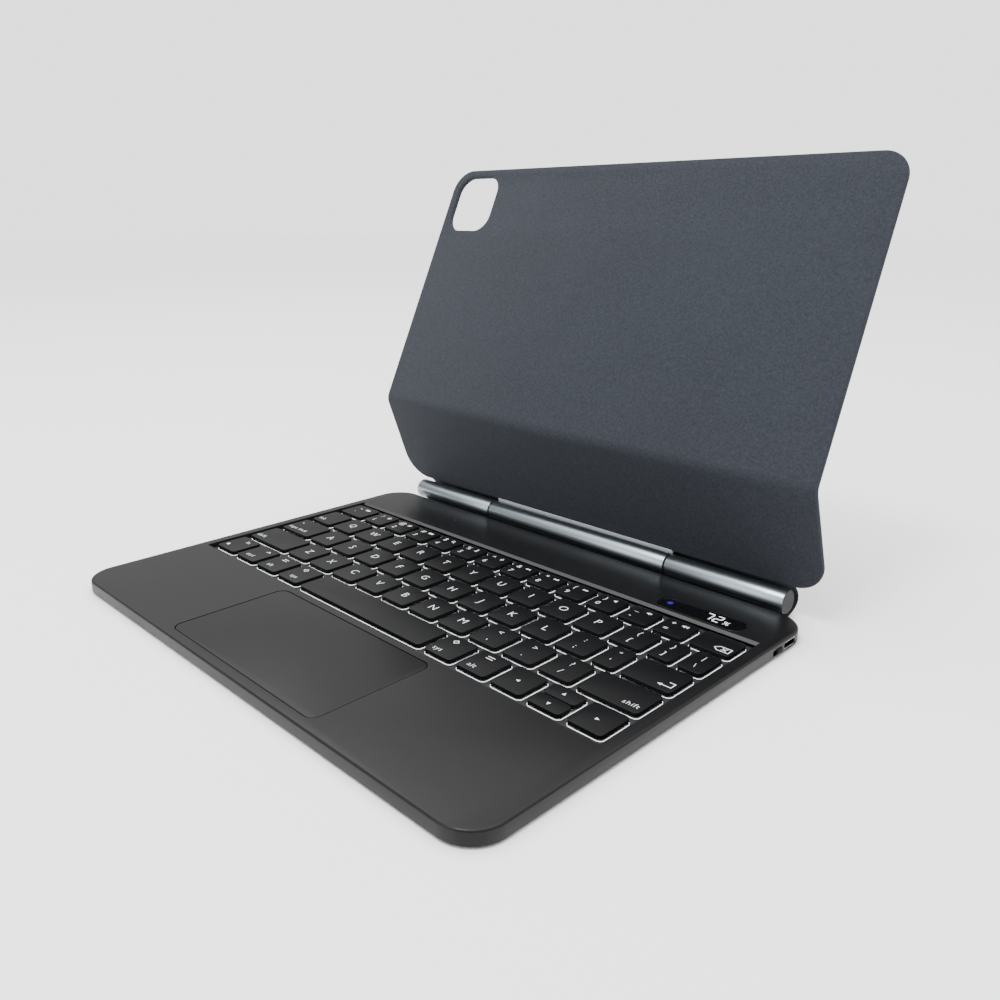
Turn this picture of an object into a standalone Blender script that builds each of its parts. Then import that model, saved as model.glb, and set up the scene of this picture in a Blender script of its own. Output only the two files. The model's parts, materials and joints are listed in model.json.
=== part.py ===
"""A tablet keyboard case: a slim keyboard base, a barrel hinge and a creased two-panel lid.

Metres, +Z up. The origin is the centre of the face that the case stands on. The user sits at -Y.
The lid is modelled shut, in the frames of two empties, and those empties hold it open.
"""

import math

import bmesh
import bpy
from mathutils import Vector

MM = 0.001
GAP = 0.15 * MM

# Base
BASE_WIDTH = 250 * MM
BASE_DEPTH = 184 * MM
BASE_CORNER = 13.5 * MM
DECK_TOP = 6.0 * MM
DECK_PLATE = 1.2 * MM
WALL = 1.6 * MM
WALL_FOOT = 0.5 * MM
EDGE_ROUND = 0.9 * MM
SKIN = 0.4 * MM
SKIN_INSET = 1.4 * MM
FLOOR_PLATE = (0.6 * MM, 1.3 * MM)
FRONT = -BASE_DEPTH / 2
REAR = BASE_DEPTH / 2

# Key well and keys, measured back from the front edge
WELL_HALF = 120.3 * MM
WELL_FRONT = FRONT + 58.2 * MM
WELL_REAR = FRONT + 151.4 * MM
WELL_DEPTH = 1.05 * MM
RAMP = 2.3 * MM
WEB_THICK = 0.7 * MM
KEY_FIELD = 118.8 * MM
KEY_GAP = 2.8 * MM
KEY_THICK = 1.5 * MM
KEY_CORNER = 1.7 * MM
KEY_TRAVEL = 0.8 * MM
SLOT = 0.75 * MM
ROW_PITCH = 18.3 * MM
ROW_FRONT = FRONT + 60.9 * MM
TOP_ROW_CELL = 16.5 * MM
UNIT = 17.65 * MM
NUMBER_UNIT = 16.475 * MM
ARROW_UNIT = 17.12 * MM
NARROW = 12.9 * MM
CARRIER = (3.8 * MM, 4.1 * MM)
CARRIER_WIDTH = 5 * MM
POST = 5 * MM
LIGHT_GUIDE = (2.55 * MM, 2.85 * MM)
MEMBRANE = (2.2 * MM, 2.5 * MM)
SUPPORT = (1.75 * MM, 2.15 * MM)

# Trackpad
PAD_HALF = 47.4 * MM
PAD_FRONT = FRONT + 4.6 * MM
PAD_REAR = FRONT + 55.3 * MM
PAD_CORNER = 4 * MM
PAD_GAP = 0.35 * MM
PAD_THICK = 1.0 * MM

# Display window
DISPLAY_X = 90.5 * MM
DISPLAY_Y = FRONT + 160.2 * MM
DISPLAY_LENGTH = 39.4 * MM
DISPLAY_HEIGHT = 10.6 * MM

# Right-hand side: charging port and power switch
PORT_Y = FRONT + 167.6 * MM
PORT_Z = 2.95 * MM
PORT_WIDTH = 9.4 * MM
PORT_HEIGHT = 3.2 * MM
SWITCH_Y = FRONT + 158 * MM
SWITCH_Z = 2.9 * MM
SWITCH_SLOT = 7 * MM
SWITCH_KNOB = 3.4 * MM
SWITCH_TRAVEL = 2.4 * MM

# Barrel hinge
BARREL_Y = FRONT + 190.2 * MM
BARREL_Z = 8.4 * MM
BARREL_RADIUS = 5.0 * MM
BARREL_BORE = 4.2 * MM
BARREL_HALF = 112 * MM
BARREL_SEAM = 55 * MM
SEAM_GAP = 0.4 * MM
CAP_THICK = 0.8 * MM
SHAFT_RADIUS = 1.5 * MM
ROUND_SIDES = 32

# Lid, in its shut position about the barrel's axis
LID_HALF = 125.6 * MM
LID_THICK = 2.6 * MM
LID_DROP = 4.56 * MM
LID_START = 3.91 * MM
LOWER_LENGTH = 50.63 * MM
UPPER_LENGTH = 135.7 * MM
LID_OPEN = math.radians(69.6)
CREASE_FOLD = math.radians(45.4)
LID_SKIN = 0.5 * MM
CREASE_RELIEF = 1.9 * MM
LOWER_CORNER = 14.5 * MM
UPPER_CORNER = 12 * MM
CAMERA_X = (-120.3 * MM, -90.6 * MM)
CAMERA_Y = (100.2 * MM, 131.2 * MM)
CAMERA_CORNER = 9 * MM

# Spine skin: its outer face as millimetres behind the front edge and above the desk
SPINE_HALF = 111.5 * MM
SPINE_THICK = 0.45 * MM
SPINE_SECTION = (
    (184.35, 0.35), (188.5, 0.75), (192.3, 1.25), (195.6, 2.15), (198.2, 3.5), (199.8, 5.4),
    (200.1, 7.6), (199.3, 9.6), (198.0, 11.3), (196.8, 12.7), (195.8, 14.0),
)


def clear_scene():
    """Empty the scene of whatever it starts with."""
    for obj in list(bpy.data.objects):
        bpy.data.objects.remove(obj, do_unlink=True)


def collection(name):
    """A collection linked to the scene."""
    made = bpy.data.collections.new(name)
    bpy.context.scene.collection.children.link(made)
    return made


def finish(name, colour, roughness, metallic=0.0):
    """A Principled material."""
    made = bpy.data.materials.new(name)
    made.use_nodes = True
    shader = made.node_tree.nodes["Principled BSDF"]
    shader.inputs["Base Color"].default_value = (*colour, 1)
    shader.inputs["Roughness"].default_value = roughness
    shader.inputs["Metallic"].default_value = metallic
    return made


clear_scene()
CASE = collection("tablet_keyboard_case")
CUTTERS = collection("cutters")
DECK_PAINT = finish("deck_paint", (0.055, 0.055, 0.058), 0.42)
DARK_PLASTIC = finish("dark_plastic", (0.03, 0.03, 0.032), 0.5)
KEY_PLASTIC = finish("key_plastic", (0.02, 0.02, 0.022), 0.55)
GLOSS_BLACK = finish("gloss_black", (0.006, 0.006, 0.008), 0.08)
BARREL_METAL = finish("barrel_metal", (0.55, 0.6, 0.65), 0.25, 1.0)
STEEL = finish("steel", (0.5, 0.5, 0.52), 0.35, 1.0)
LID_FABRIC = finish("lid_fabric", (0.065, 0.08, 0.1), 0.85)
OUTER_SKIN = finish("outer_skin", (0.03, 0.033, 0.04), 0.7)
CORE_BOARD = finish("core_board", (0.12, 0.12, 0.12), 0.7)
BOARD_GREEN = finish("board_green", (0.02, 0.12, 0.05), 0.5)
CELL_SILVER = finish("cell_silver", (0.6, 0.6, 0.62), 0.3, 0.8)
LIGHT_WHITE = finish("light_white", (0.85, 0.88, 0.9), 0.4)
LED_BLUE = finish("led_blue", (0.05, 0.08, 0.9), 0.3)


def add(name, mesh, paint=None, parent=None, where=CASE):
    """An object from a bmesh, at its parent's origin."""
    bmesh.ops.recalc_face_normals(mesh, faces=mesh.faces)
    data = bpy.data.meshes.new(name)
    mesh.to_mesh(data)
    mesh.free()
    obj = bpy.data.objects.new(name, data)
    where.objects.link(obj)
    if paint:
        data.materials.append(paint)
    if parent:
        obj.parent = parent
    return obj


def empty(name, location, turn=0.0, parent=None):
    """An empty that marks a joint's axis, turned about X."""
    obj = bpy.data.objects.new(name, None)
    CASE.objects.link(obj)
    obj.location = location
    obj.rotation_euler = (turn, 0, 0)
    obj.parent = parent
    return obj


def block(low, high, corner=0.0, steps=3):
    """A bmesh box between two corners, with its upright edges rounded."""
    mesh = bmesh.new()
    bmesh.ops.create_cube(mesh, size=1)
    low = Vector(low)
    high = Vector(high)
    bmesh.ops.scale(mesh, vec=high - low, verts=mesh.verts)
    bmesh.ops.translate(mesh, vec=(low + high) / 2, verts=mesh.verts)
    if corner:
        upright = [e for e in mesh.edges if abs(e.verts[0].co.z - e.verts[1].co.z) > 1e-7]
        bmesh.ops.bevel(mesh, geom=upright, offset=corner, segments=steps, affect="EDGES", profile=0.5)
    return mesh


def round_rim(mesh, level, radius, steps=2):
    """Round the rim of the flat face at one height."""
    rim = [
        e for e in mesh.edges
        if all(abs(v.co.z - level) < 1e-7 for v in e.verts)
        and len({round(f.normal.z, 3) for f in e.link_faces}) > 1
    ]
    bmesh.ops.bevel(mesh, geom=rim, offset=radius, segments=steps, affect="EDGES", profile=0.5)


def rod(start, end, radius, y=0.0, z=0.0, bore=0.0, sides=ROUND_SIDES):
    """A bmesh cylinder or tube along X."""
    mesh = bmesh.new()
    rings = []
    for x in (start, end):
        for r in (radius, bore) if bore else (radius,):
            ring = []
            for i in range(sides):
                a = math.tau * i / sides
                ring.append(mesh.verts.new((x, y + r * math.cos(a), z + r * math.sin(a))))
            rings.append(ring)
    def skirt(a, b):
        for i in range(sides):
            j = (i + 1) % sides
            mesh.faces.new((a[i], a[j], b[j], b[i]))
    if bore:
        outer_start, bore_start, outer_end, bore_end = rings
        skirt(outer_start, outer_end)
        skirt(outer_end, bore_end)
        skirt(bore_end, bore_start)
        skirt(bore_start, outer_start)
    else:
        skirt(rings[0], rings[1])
        mesh.faces.new(rings[0])
        mesh.faces.new(rings[1])
    return mesh


def profile_along_x(points, half):
    """A closed outline in Y and Z, run along X and centred on it."""
    mesh = bmesh.new()
    ends = []
    for x in (-half, half):
        ends.append([mesh.verts.new((x, y, z)) for y, z in points])
    count = len(points)
    for i in range(count):
        j = (i + 1) % count
        mesh.faces.new((ends[0][i], ends[0][j], ends[1][j], ends[1][i]))
    mesh.faces.new(ends[0])
    mesh.faces.new(ends[1])
    return mesh


def boolean(obj, mesh, operation="DIFFERENCE"):
    """Cut a bmesh from an object, or join one to it."""
    count = len(obj.modifiers)
    cutter = add(f"{obj.name}_cutter_{count}", mesh, where=CUTTERS)
    cutter.hide_render = True
    cutter.display_type = "WIRE"
    cutter.parent = obj.parent
    modifier = obj.modifiers.new(f"{operation.lower()}_{count}", "BOOLEAN")
    modifier.operation = operation
    modifier.solver = "EXACT"
    modifier.object = cutter
    return cutter


def smooth(obj):
    """Shade a round piece smooth, keeping its hard edges."""
    obj.data.shade_smooth()
    obj.data.set_sharp_from_angle(angle=math.radians(35))


# ---------------------------------------------------------------- keys


def key_cells():
    """Every key as name, row, left and right edge of its cell, and its share of the cell's height."""
    left = -KEY_FIELD
    number_start = left + (2 * KEY_FIELD - 12 * NUMBER_UNIT) / 2
    letters_q = left + UNIT
    letters_a = left + 24.4 * MM
    letters_z = left + 32.8 * MM
    space_start = left + 4 * UNIT
    space_end = KEY_FIELD - 5 * ARROW_UNIT
    cells = [("number_keys", 0, left, number_start, 0, 1)]
    for i in range(12):
        x = number_start + i * NUMBER_UNIT
        cells.append(("number_keys", 0, x, x + NUMBER_UNIT, 0, 1))
    cells.append(("key_delete", 0, number_start + 12 * NUMBER_UNIT, KEY_FIELD, 0, 1))
    cells.append(("key_tab", 1, left, letters_q, 0, 1))
    for i in range(11):
        cells.append(("upper_letter_keys", 1, letters_q + i * UNIT, letters_q + (i + 1) * UNIT, 0, 1))
    cells.append(("upper_letter_keys", 1, KEY_FIELD - 2 * NARROW, KEY_FIELD - NARROW, 0, 1))
    cells.append(("upper_letter_keys", 1, KEY_FIELD - NARROW, KEY_FIELD, 0, 1))
    cells.append(("key_caps", 2, left, letters_a, 0, 1))
    for i in range(10):
        cells.append(("home_letter_keys", 2, letters_a + i * UNIT, letters_a + (i + 1) * UNIT, 0, 1))
    quote = letters_a + 10 * UNIT
    cells.append(("home_letter_keys", 2, quote, quote + NARROW, 0, 1))
    cells.append(("key_return", 2, quote + NARROW, KEY_FIELD, 0, 1))
    cells.append(("key_shift_left", 3, left, letters_z, 0, 1))
    for i in range(10):
        cells.append(("lower_letter_keys", 3, letters_z + i * UNIT, letters_z + (i + 1) * UNIT, 0, 1))
    cells.append(("key_shift_right", 3, letters_z + 10 * UNIT, KEY_FIELD, 0, 1))
    for i, name in enumerate(("key_fn", "key_ctrl", "key_alt_left", "key_cmd_left")):
        cells.append((name, 4, left + i * UNIT, left + (i + 1) * UNIT, 0, 1))
    cells.append(("key_space", 4, space_start, space_end, 0, 1))
    for i, name in enumerate(("key_cmd_right", "key_alt_right", "key_left", "key_down", "key_right")):
        low = space_end + i * ARROW_UNIT
        cells.append((name, 4, low, low + ARROW_UNIT, 0, 0.5 if name == "key_down" else 1))
        if name == "key_down":
            cells.append(("key_up", 4, low, low + ARROW_UNIT, 0.5, 1))
    return cells


def cell_box(cell):
    """The plan of a key's top: x and y limits."""
    name, row, left, right, low_share, high_share = cell
    front = ROW_FRONT + (4 - row) * ROW_PITCH + KEY_GAP / 2
    height = (TOP_ROW_CELL if row == 0 else ROW_PITCH) - KEY_GAP
    low = front + low_share * height
    high = front + high_share * height
    split = 0.25 * MM
    if low_share > 0:
        low += split
    if high_share < 1:
        high -= split
    return left + KEY_GAP / 2, right - KEY_GAP / 2, low, high


def keycap(plan):
    """One keycap."""
    x0, x1, y0, y1 = plan
    return block((x0, y0, DECK_TOP - KEY_THICK), (x1, y1, DECK_TOP), KEY_CORNER, 2)


def key_post(plan):
    """The post that joins a keycap to the carrier under its row."""
    x = (plan[0] + plan[1]) / 2
    y = (plan[2] + plan[3]) / 2
    half = POST / 2
    return block((x - half, y - half, CARRIER[0] + 0.1 * MM), (x + half, y + half, DECK_TOP - 1 * MM))


def key_groups(cells):
    """Key names with the cells that share each name, in order."""
    groups = {}
    for cell in cells:
        groups.setdefault(cell[0], []).append(cell)
    return groups


def make_keys(cells):
    """Single keys, and rows of letter keys joined by a carrier under the web."""
    for name, members in key_groups(cells).items():
        plans = [cell_box(cell) for cell in members]
        if len(members) == 1:
            add(name, keycap(plans[0]), KEY_PLASTIC)
            continue
        y = (plans[0][2] + plans[0][3]) / 2
        half = CARRIER_WIDTH / 2
        first = (plans[0][0] + plans[0][1]) / 2 - half
        last = (plans[-1][0] + plans[-1][1]) / 2 + half
        bar = add(name, block((first, y - half, CARRIER[0]), (last, y + half, CARRIER[1])), KEY_PLASTIC)
        caps = bpy.data.collections.new(f"{name}_caps")
        CUTTERS.children.link(caps)
        for i, plan in enumerate(plans):
            for word, shape in (("cap", keycap(plan)), ("post", key_post(plan))):
                helper = add(f"{name}_{word}_{i}", shape, where=caps)
                helper.hide_render = True
                helper.display_type = "WIRE"
        modifier = bar.modifiers.new("caps", "BOOLEAN")
        modifier.operation = "UNION"
        modifier.solver = "EXACT"
        modifier.operand_type = "COLLECTION"
        modifier.collection = caps


def make_key_web(cells):
    """The web that shows between the keys, with an opening for each key."""
    top = DECK_TOP - WELL_DEPTH
    low = (-WELL_HALF + GAP, WELL_FRONT + GAP, top - WEB_THICK)
    high = (WELL_HALF - GAP, WELL_REAR - GAP, top)
    web = add("key_web", block(low, high), DARK_PLASTIC)
    openings = bpy.data.collections.new("key_openings")
    CUTTERS.children.link(openings)
    for i, cell in enumerate(cells):
        if cell[0] == "key_up":
            continue
        x0, x1, y0, y1 = cell_box(cell)
        if cell[0] == "key_down":
            y1 = y0 + ROW_PITCH - KEY_GAP
        hole = block((x0 - SLOT, y0 - SLOT, top - 2 * WEB_THICK), (x1 + SLOT, y1 + SLOT, top + WEB_THICK))
        cutter = add(f"key_opening_{i}", hole, where=openings)
        cutter.hide_render = True
        cutter.display_type = "WIRE"
    modifier = web.modifiers.new("openings", "BOOLEAN")
    modifier.operation = "DIFFERENCE"
    modifier.solver = "EXACT"
    modifier.operand_type = "COLLECTION"
    modifier.collection = openings


# ---------------------------------------------------------------- base


def make_deck():
    """The top case: deck, side walls, key well, trackpad window and display recess."""
    half = BASE_WIDTH / 2
    mesh = block((-half, FRONT, WALL_FOOT), (half, REAR, DECK_TOP), BASE_CORNER, 8)
    round_rim(mesh, DECK_TOP, EDGE_ROUND)
    round_rim(mesh, WALL_FOOT, EDGE_ROUND)
    deck = add("base_top_case", mesh, DECK_PAINT)
    under = DECK_TOP - DECK_PLATE
    inner = BASE_CORNER - WALL
    low = (-half + WALL, FRONT + WALL, -1 * MM)
    high = (half - WALL, REAR - WALL, under)
    boolean(deck, block(low, high, inner, 8))
    above = DECK_TOP + 1 * MM
    boolean(deck, block((-WELL_HALF, WELL_FRONT, under - 1 * MM), (WELL_HALF, WELL_REAR, above)))
    foot = DECK_TOP - WELL_DEPTH
    ramp = profile_along_x(
        [
            (WELL_REAR - 1 * MM, foot),
            (WELL_REAR, foot),
            (WELL_REAR + RAMP, DECK_TOP),
            (WELL_REAR + RAMP, above),
            (WELL_REAR - 1 * MM, above),
        ],
        WELL_HALF - 0.8 * MM,
    )
    boolean(deck, ramp)
    pad_low = (-PAD_HALF - PAD_GAP, PAD_FRONT - PAD_GAP, under - 1 * MM)
    pad_high = (PAD_HALF + PAD_GAP, PAD_REAR + PAD_GAP, above)
    boolean(deck, block(pad_low, pad_high, PAD_CORNER + PAD_GAP, 4))
    boolean(deck, display_plate(under - 1 * MM, above, 0))
    port = block(
        (half - 8 * MM, PORT_Y - PORT_WIDTH / 2, PORT_Z - PORT_HEIGHT / 2),
        (half + 5 * MM, PORT_Y + PORT_WIDTH / 2, PORT_Z + PORT_HEIGHT / 2),
    )
    round_along_x(port, PORT_HEIGHT / 2 - 0.05 * MM)
    boolean(deck, port)
    boolean(deck, switch_block(half - 3 * MM, half + 5 * MM, SWITCH_SLOT / 2, 1.15 * MM, SWITCH_Y))
    for side in (-1, 1):
        near, far = sorted((side * 62 * MM, side * 104 * MM))
        slot = block((near, REAR - 4 * MM, 1.6 * MM), (far, REAR + 4 * MM, 2.8 * MM))
        boolean(deck, slot)


def round_along_x(mesh, radius):
    """Round a block's edges that run along X."""
    along = [e for e in mesh.edges if abs(e.verts[0].co.x - e.verts[1].co.x) > 1e-6]
    bmesh.ops.bevel(mesh, geom=along, offset=radius, segments=3, affect="EDGES", profile=0.5)


def display_plate(low, high, inset):
    """The pill-shaped plan of the display, between two heights."""
    half_x = DISPLAY_LENGTH / 2 - inset
    half_y = DISPLAY_HEIGHT / 2 - inset
    return block(
        (DISPLAY_X - half_x, DISPLAY_Y - half_y, low),
        (DISPLAY_X + half_x, DISPLAY_Y + half_y, high),
        half_y - 0.02 * MM,
        6,
    )


def switch_block(x0, x1, half_y, half_z, y):
    """A block in the right-hand wall, at the power switch's height."""
    mesh = block((x0, y - half_y, SWITCH_Z - half_z), (x1, y + half_y, SWITCH_Z + half_z))
    round_along_x(mesh, 0.5 * MM)
    return mesh


def make_floor():
    """The bottom plate inside the walls, and the soft skin under it."""
    half = BASE_WIDTH / 2
    inset = WALL + 0.3 * MM
    low = (-half + inset, FRONT + inset, FLOOR_PLATE[0])
    high = (half - inset, REAR - inset, FLOOR_PLATE[1])
    add("base_floor_plate", block(low, high, BASE_CORNER - inset, 5), DARK_PLASTIC)
    low = (-half + SKIN_INSET, FRONT + SKIN_INSET, 0)
    high = (half - SKIN_INSET, REAR - SKIN_INSET, SKIN)
    add("bottom_skin", block(low, high, BASE_CORNER - SKIN_INSET, 5), OUTER_SKIN)


def make_keyboard_stack():
    """Light guide, switch membrane and steel support plate under the keys."""
    for name, (low, high), inset, paint in (
        ("backlight_guide", LIGHT_GUIDE, 1.0 * MM, LIGHT_WHITE),
        ("key_membrane", MEMBRANE, 1.6 * MM, BOARD_GREEN),
        ("keyboard_support_plate", SUPPORT, 0.4 * MM, STEEL),
    ):
        corner = (WELL_HALF - inset, WELL_REAR - inset)
        front = (-WELL_HALF + inset, WELL_FRONT + 1 * MM + inset)
        add(name, block((*front, low), (*corner, high)), paint)


def make_trackpad():
    """The clicking plate, the sensor board under it and the switch that it presses."""
    hinge = empty("trackpad_hinge_axis", (0, PAD_REAR, DECK_TOP - PAD_THICK / 2))
    top = PAD_THICK / 2 - 0.05 * MM
    depth = PAD_REAR - PAD_FRONT
    plate = block((-PAD_HALF, -depth, top - PAD_THICK), (PAD_HALF, 0, top), PAD_CORNER, 4)
    add("trackpad_plate", plate, DECK_PAINT, hinge)
    board_top = top - PAD_THICK - GAP
    board = block((-PAD_HALF + 3 * MM, -depth + 3 * MM, board_top - 0.5 * MM), (PAD_HALF - 3 * MM, -4 * MM, board_top))
    add("trackpad_board", board, BOARD_GREEN, hinge)
    y = PAD_FRONT + 8 * MM
    add("trackpad_click_switch", block((-3 * MM, y - 3 * MM, 1.35 * MM), (3 * MM, y + 3 * MM, 3.7 * MM)), STEEL)


def make_electronics():
    """Two flat cells, the main board, the display and its light."""
    for side, name in ((-1, "battery_left"), (1, "battery_right")):
        near, far = sorted((side * 54 * MM, side * 117 * MM))
        cell = block((near, FRONT + 7 * MM, 1.4 * MM), (far, FRONT + 53 * MM, 4.4 * MM), 1.5 * MM, 2)
        add(name, cell, CELL_SILVER)
    board = add(
        "main_board",
        block((20 * MM, FRONT + 154.5 * MM, 1.5 * MM), (112 * MM, FRONT + 166.5 * MM, 2.3 * MM)),
        BOARD_GREEN,
    )
    for x in (34 * MM, 52 * MM):
        chip = block((x, FRONT + 156 * MM, 1.9 * MM), (x + 9 * MM, FRONT + 165 * MM, 3.3 * MM))
        boolean(board, chip, "UNION")
    add("display_window", display_plate(DECK_TOP - 0.7 * MM, DECK_TOP - 0.02 * MM, 0.12 * MM), GLOSS_BLACK)
    add("display_module", display_plate(3.9 * MM, DECK_TOP - 0.85 * MM, 1.3 * MM), DARK_PLASTIC)
    led = block(
        (DISPLAY_X - 16.5 * MM, DISPLAY_Y - 1.5 * MM, 2.9 * MM),
        (DISPLAY_X - 13.5 * MM, DISPLAY_Y + 1.5 * MM, 3.75 * MM),
    )
    add("status_led", led, LED_BLUE)


def make_port_and_switch():
    """The charging port's metal shell and tongue, the power switch and its knob."""
    half = BASE_WIDTH / 2
    wide = PORT_WIDTH / 2 - 0.2 * MM
    high = PORT_HEIGHT / 2 - 0.2 * MM
    shell_mesh = block((half - 7.5 * MM, PORT_Y - wide, PORT_Z - high), (half - 0.3 * MM, PORT_Y + wide, PORT_Z + high))
    round_along_x(shell_mesh, high - 0.05 * MM)
    shell = add("charging_port_shell", shell_mesh, STEEL)
    wall = 0.28 * MM
    bore = block(
        (half - 6.6 * MM, PORT_Y - wide + wall, PORT_Z - high + wall),
        (half + 1 * MM, PORT_Y + wide - wall, PORT_Z + high - wall),
    )
    round_along_x(bore, high - wall - 0.05 * MM)
    boolean(shell, bore)
    tongue = block(
        (half - 7 * MM, PORT_Y - 3.2 * MM, PORT_Z - 0.35 * MM),
        (half - 1.6 * MM, PORT_Y + 3.2 * MM, PORT_Z + 0.35 * MM),
    )
    boolean(shell, tongue, "UNION")
    axis = empty("power_switch_slide_axis", (half, SWITCH_Y + SWITCH_TRAVEL / 2, SWITCH_Z))
    knob = block(
        (-WALL - 1.9 * MM, -SWITCH_KNOB / 2, -0.85 * MM),
        (0.7 * MM, SWITCH_KNOB / 2, 0.85 * MM),
    )
    add("power_switch_knob", knob, DARK_PLASTIC, axis)


# ---------------------------------------------------------------- hinge


def make_outer_barrels():
    """The two barrel tubes fixed to the base, with their caps, friction units and mounts."""
    for side, word in ((-1, "left"), (1, "right")):
        inner = side * (BARREL_SEAM + SEAM_GAP / 2)
        outer = side * (BARREL_HALF - CAP_THICK - GAP)
        near, far = sorted((inner, outer))
        tube = add(f"barrel_{word}", rod(near, far, BARREL_RADIUS, BARREL_Y, BARREL_Z, BARREL_BORE), BARREL_METAL)
        smooth(tube)
        near, far = sorted((side * (BARREL_HALF - CAP_THICK), side * BARREL_HALF))
        cap = add(f"barrel_cap_{word}", rod(near, far, BARREL_RADIUS - 0.05 * MM, BARREL_Y, BARREL_Z), DECK_PAINT)
        near, far = sorted((side * (BARREL_HALF - 5 * MM), side * (BARREL_HALF - CAP_THICK / 2)))
        boolean(cap, rod(near, far, BARREL_BORE - GAP, BARREL_Y, BARREL_Z, sides=24), "UNION")
        near, far = sorted((side * 64 * MM, side * 96 * MM))
        unit = rod(near, far, BARREL_BORE - GAP, BARREL_Y, BARREL_Z, SHAFT_RADIUS + 0.1 * MM, 24)
        add(f"friction_unit_{word}", unit, STEEL)
        near, far = sorted((side * 65 * MM, side * 101 * MM))
        foot = block((near, REAR - 14 * MM, 1.8 * MM), (far, BARREL_Y, 2.6 * MM))
        mount = add(f"hinge_mount_{word}", foot, STEEL)
        leg = block((near + 4 * MM, BARREL_Y - 3 * MM, 2.2 * MM), (far - 4 * MM, BARREL_Y - 0.5 * MM, 3.25 * MM))
        boolean(mount, leg, "UNION")


def make_lid_hinge(hinge):
    """The pieces of the hinge that turn with the lid."""
    half = BARREL_SEAM - SEAM_GAP / 2
    middle = add("barrel_centre", rod(-half, half, BARREL_RADIUS, bore=BARREL_BORE), BARREL_METAL, hinge)
    smooth(middle)
    for side, word in ((-1, "left"), (1, "right")):
        near, far = sorted((side * 34 * MM, side * 98 * MM))
        shaft = add(f"hinge_shaft_{word}", rod(near, far, SHAFT_RADIUS, sides=24), STEEL, hinge)
        near, far = sorted((side * 34.2 * MM, side * 54 * MM))
        boolean(shaft, rod(near, far, BARREL_BORE - GAP, sides=24), "UNION")
    top = LID_DROP + LID_SKIN + 0.05 * MM
    plate = block((-half + 0.4 * MM, -22 * MM, top + 0.1 * MM), (half - 0.4 * MM, 1 * MM, top + 1.1 * MM))
    add("lid_bracket", plate, BARREL_METAL, hinge)


# ---------------------------------------------------------------- lid


def panel(length, low, high, start, corner, far_corner, end_relief=0.0):
    """A slab of the lid, lying shut: it runs from y = -start to y = -length + end_relief, between two depths.

    One end is square, for the crease, and the other has round corners.
    """
    mesh = bmesh.new()
    bmesh.ops.create_cube(mesh, size=1)
    bottom = Vector((-LID_HALF, -length + end_relief, low))
    top = Vector((LID_HALF, -start, high))
    bmesh.ops.scale(mesh, vec=top - bottom, verts=mesh.verts)
    bmesh.ops.translate(mesh, vec=(top + bottom) / 2, verts=mesh.verts)
    for at, radius in ((-start, corner), (-length + end_relief, far_corner)):
        if not radius:
            continue
        upright = [
            e for e in mesh.edges
            if abs(e.verts[0].co.z - e.verts[1].co.z) > 1e-7 and abs(e.verts[0].co.y - at) < 1e-7
        ]
        bmesh.ops.bevel(mesh, geom=upright, offset=radius, segments=7, affect="EDGES", profile=0.5)
    return mesh


def lid_layers():
    """The three layers of each lid panel as name, low and high depth behind the inner face, crease relief, paint."""
    core_low = LID_SKIN + 0.05 * MM
    core_high = LID_THICK - LID_SKIN - 0.05 * MM
    return (
        ("inner_fabric", 0.0, LID_SKIN, 0.4 * MM, LID_FABRIC),
        ("core", core_low, core_high, CREASE_RELIEF, CORE_BOARD),
        ("outer_skin", LID_THICK - LID_SKIN, LID_THICK, CREASE_RELIEF, OUTER_SKIN),
    )


def make_lower_panel(hinge):
    """The short panel between the barrel and the crease."""
    for word, low, high, relief, paint in lid_layers():
        inset = 0.8 * MM if word == "core" else 0.0
        mesh = panel(
            LID_START + LOWER_LENGTH, LID_DROP + low, LID_DROP + high, LID_START + inset, LOWER_CORNER, 0, relief
        )
        slab = add(f"lower_{word}", mesh, paint, hinge)
        if word != "core":
            continue
        half = BARREL_SEAM - 0.4 * MM
        pocket = block((-half, -22.3 * MM, LID_DROP - 1 * MM), (half, 6 * MM, LID_DROP + LID_THICK - LID_SKIN + 1 * MM))
        boolean(slab, pocket)


def camera_hole(extra):
    """The cutter for the tablet's camera, in the upper panel's frame."""
    low = (CAMERA_X[0] - extra, -CAMERA_Y[1] - extra, -3 * MM)
    high = (CAMERA_X[1] + extra, -CAMERA_Y[0] + extra, LID_THICK + 3 * MM)
    return block(low, high, CAMERA_CORNER + extra, 6)


def make_upper_panel(crease):
    """The tall panel that holds the tablet, with its camera hole and magnets."""
    for word, low, high, relief, paint in lid_layers():
        mesh = panel(UPPER_LENGTH, low, high, relief, 0, UPPER_CORNER)
        slab = add(f"upper_{word}", mesh, paint, crease)
        boolean(slab, camera_hole(0.9 * MM if word == "core" else 0.0))
        if word != "core":
            continue
        for _, low_corner, high_corner in magnets():
            grown_low = [value - 0.2 * MM for value in low_corner]
            grown_high = [value + 0.2 * MM for value in high_corner]
            grown_low[2] = -1 * MM
            grown_high[2] = LID_THICK + 1 * MM
            boolean(slab, block(grown_low, grown_high))
    for name, low_corner, high_corner in magnets():
        add(name, block(low_corner, high_corner), STEEL, crease)


def magnets():
    """The magnet strips that hold the tablet, as name and two corners in the upper panel's frame."""
    low = LID_SKIN + 0.15 * MM
    high = LID_THICK - LID_SKIN - 0.15 * MM
    return (
        ("magnet_lower", (-80 * MM, -30 * MM, low), (80 * MM, -18 * MM, high)),
        ("magnet_upper", (-60 * MM, -124 * MM, low), (100 * MM, -112 * MM, high)),
    )


# ---------------------------------------------------------------- spine


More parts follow.
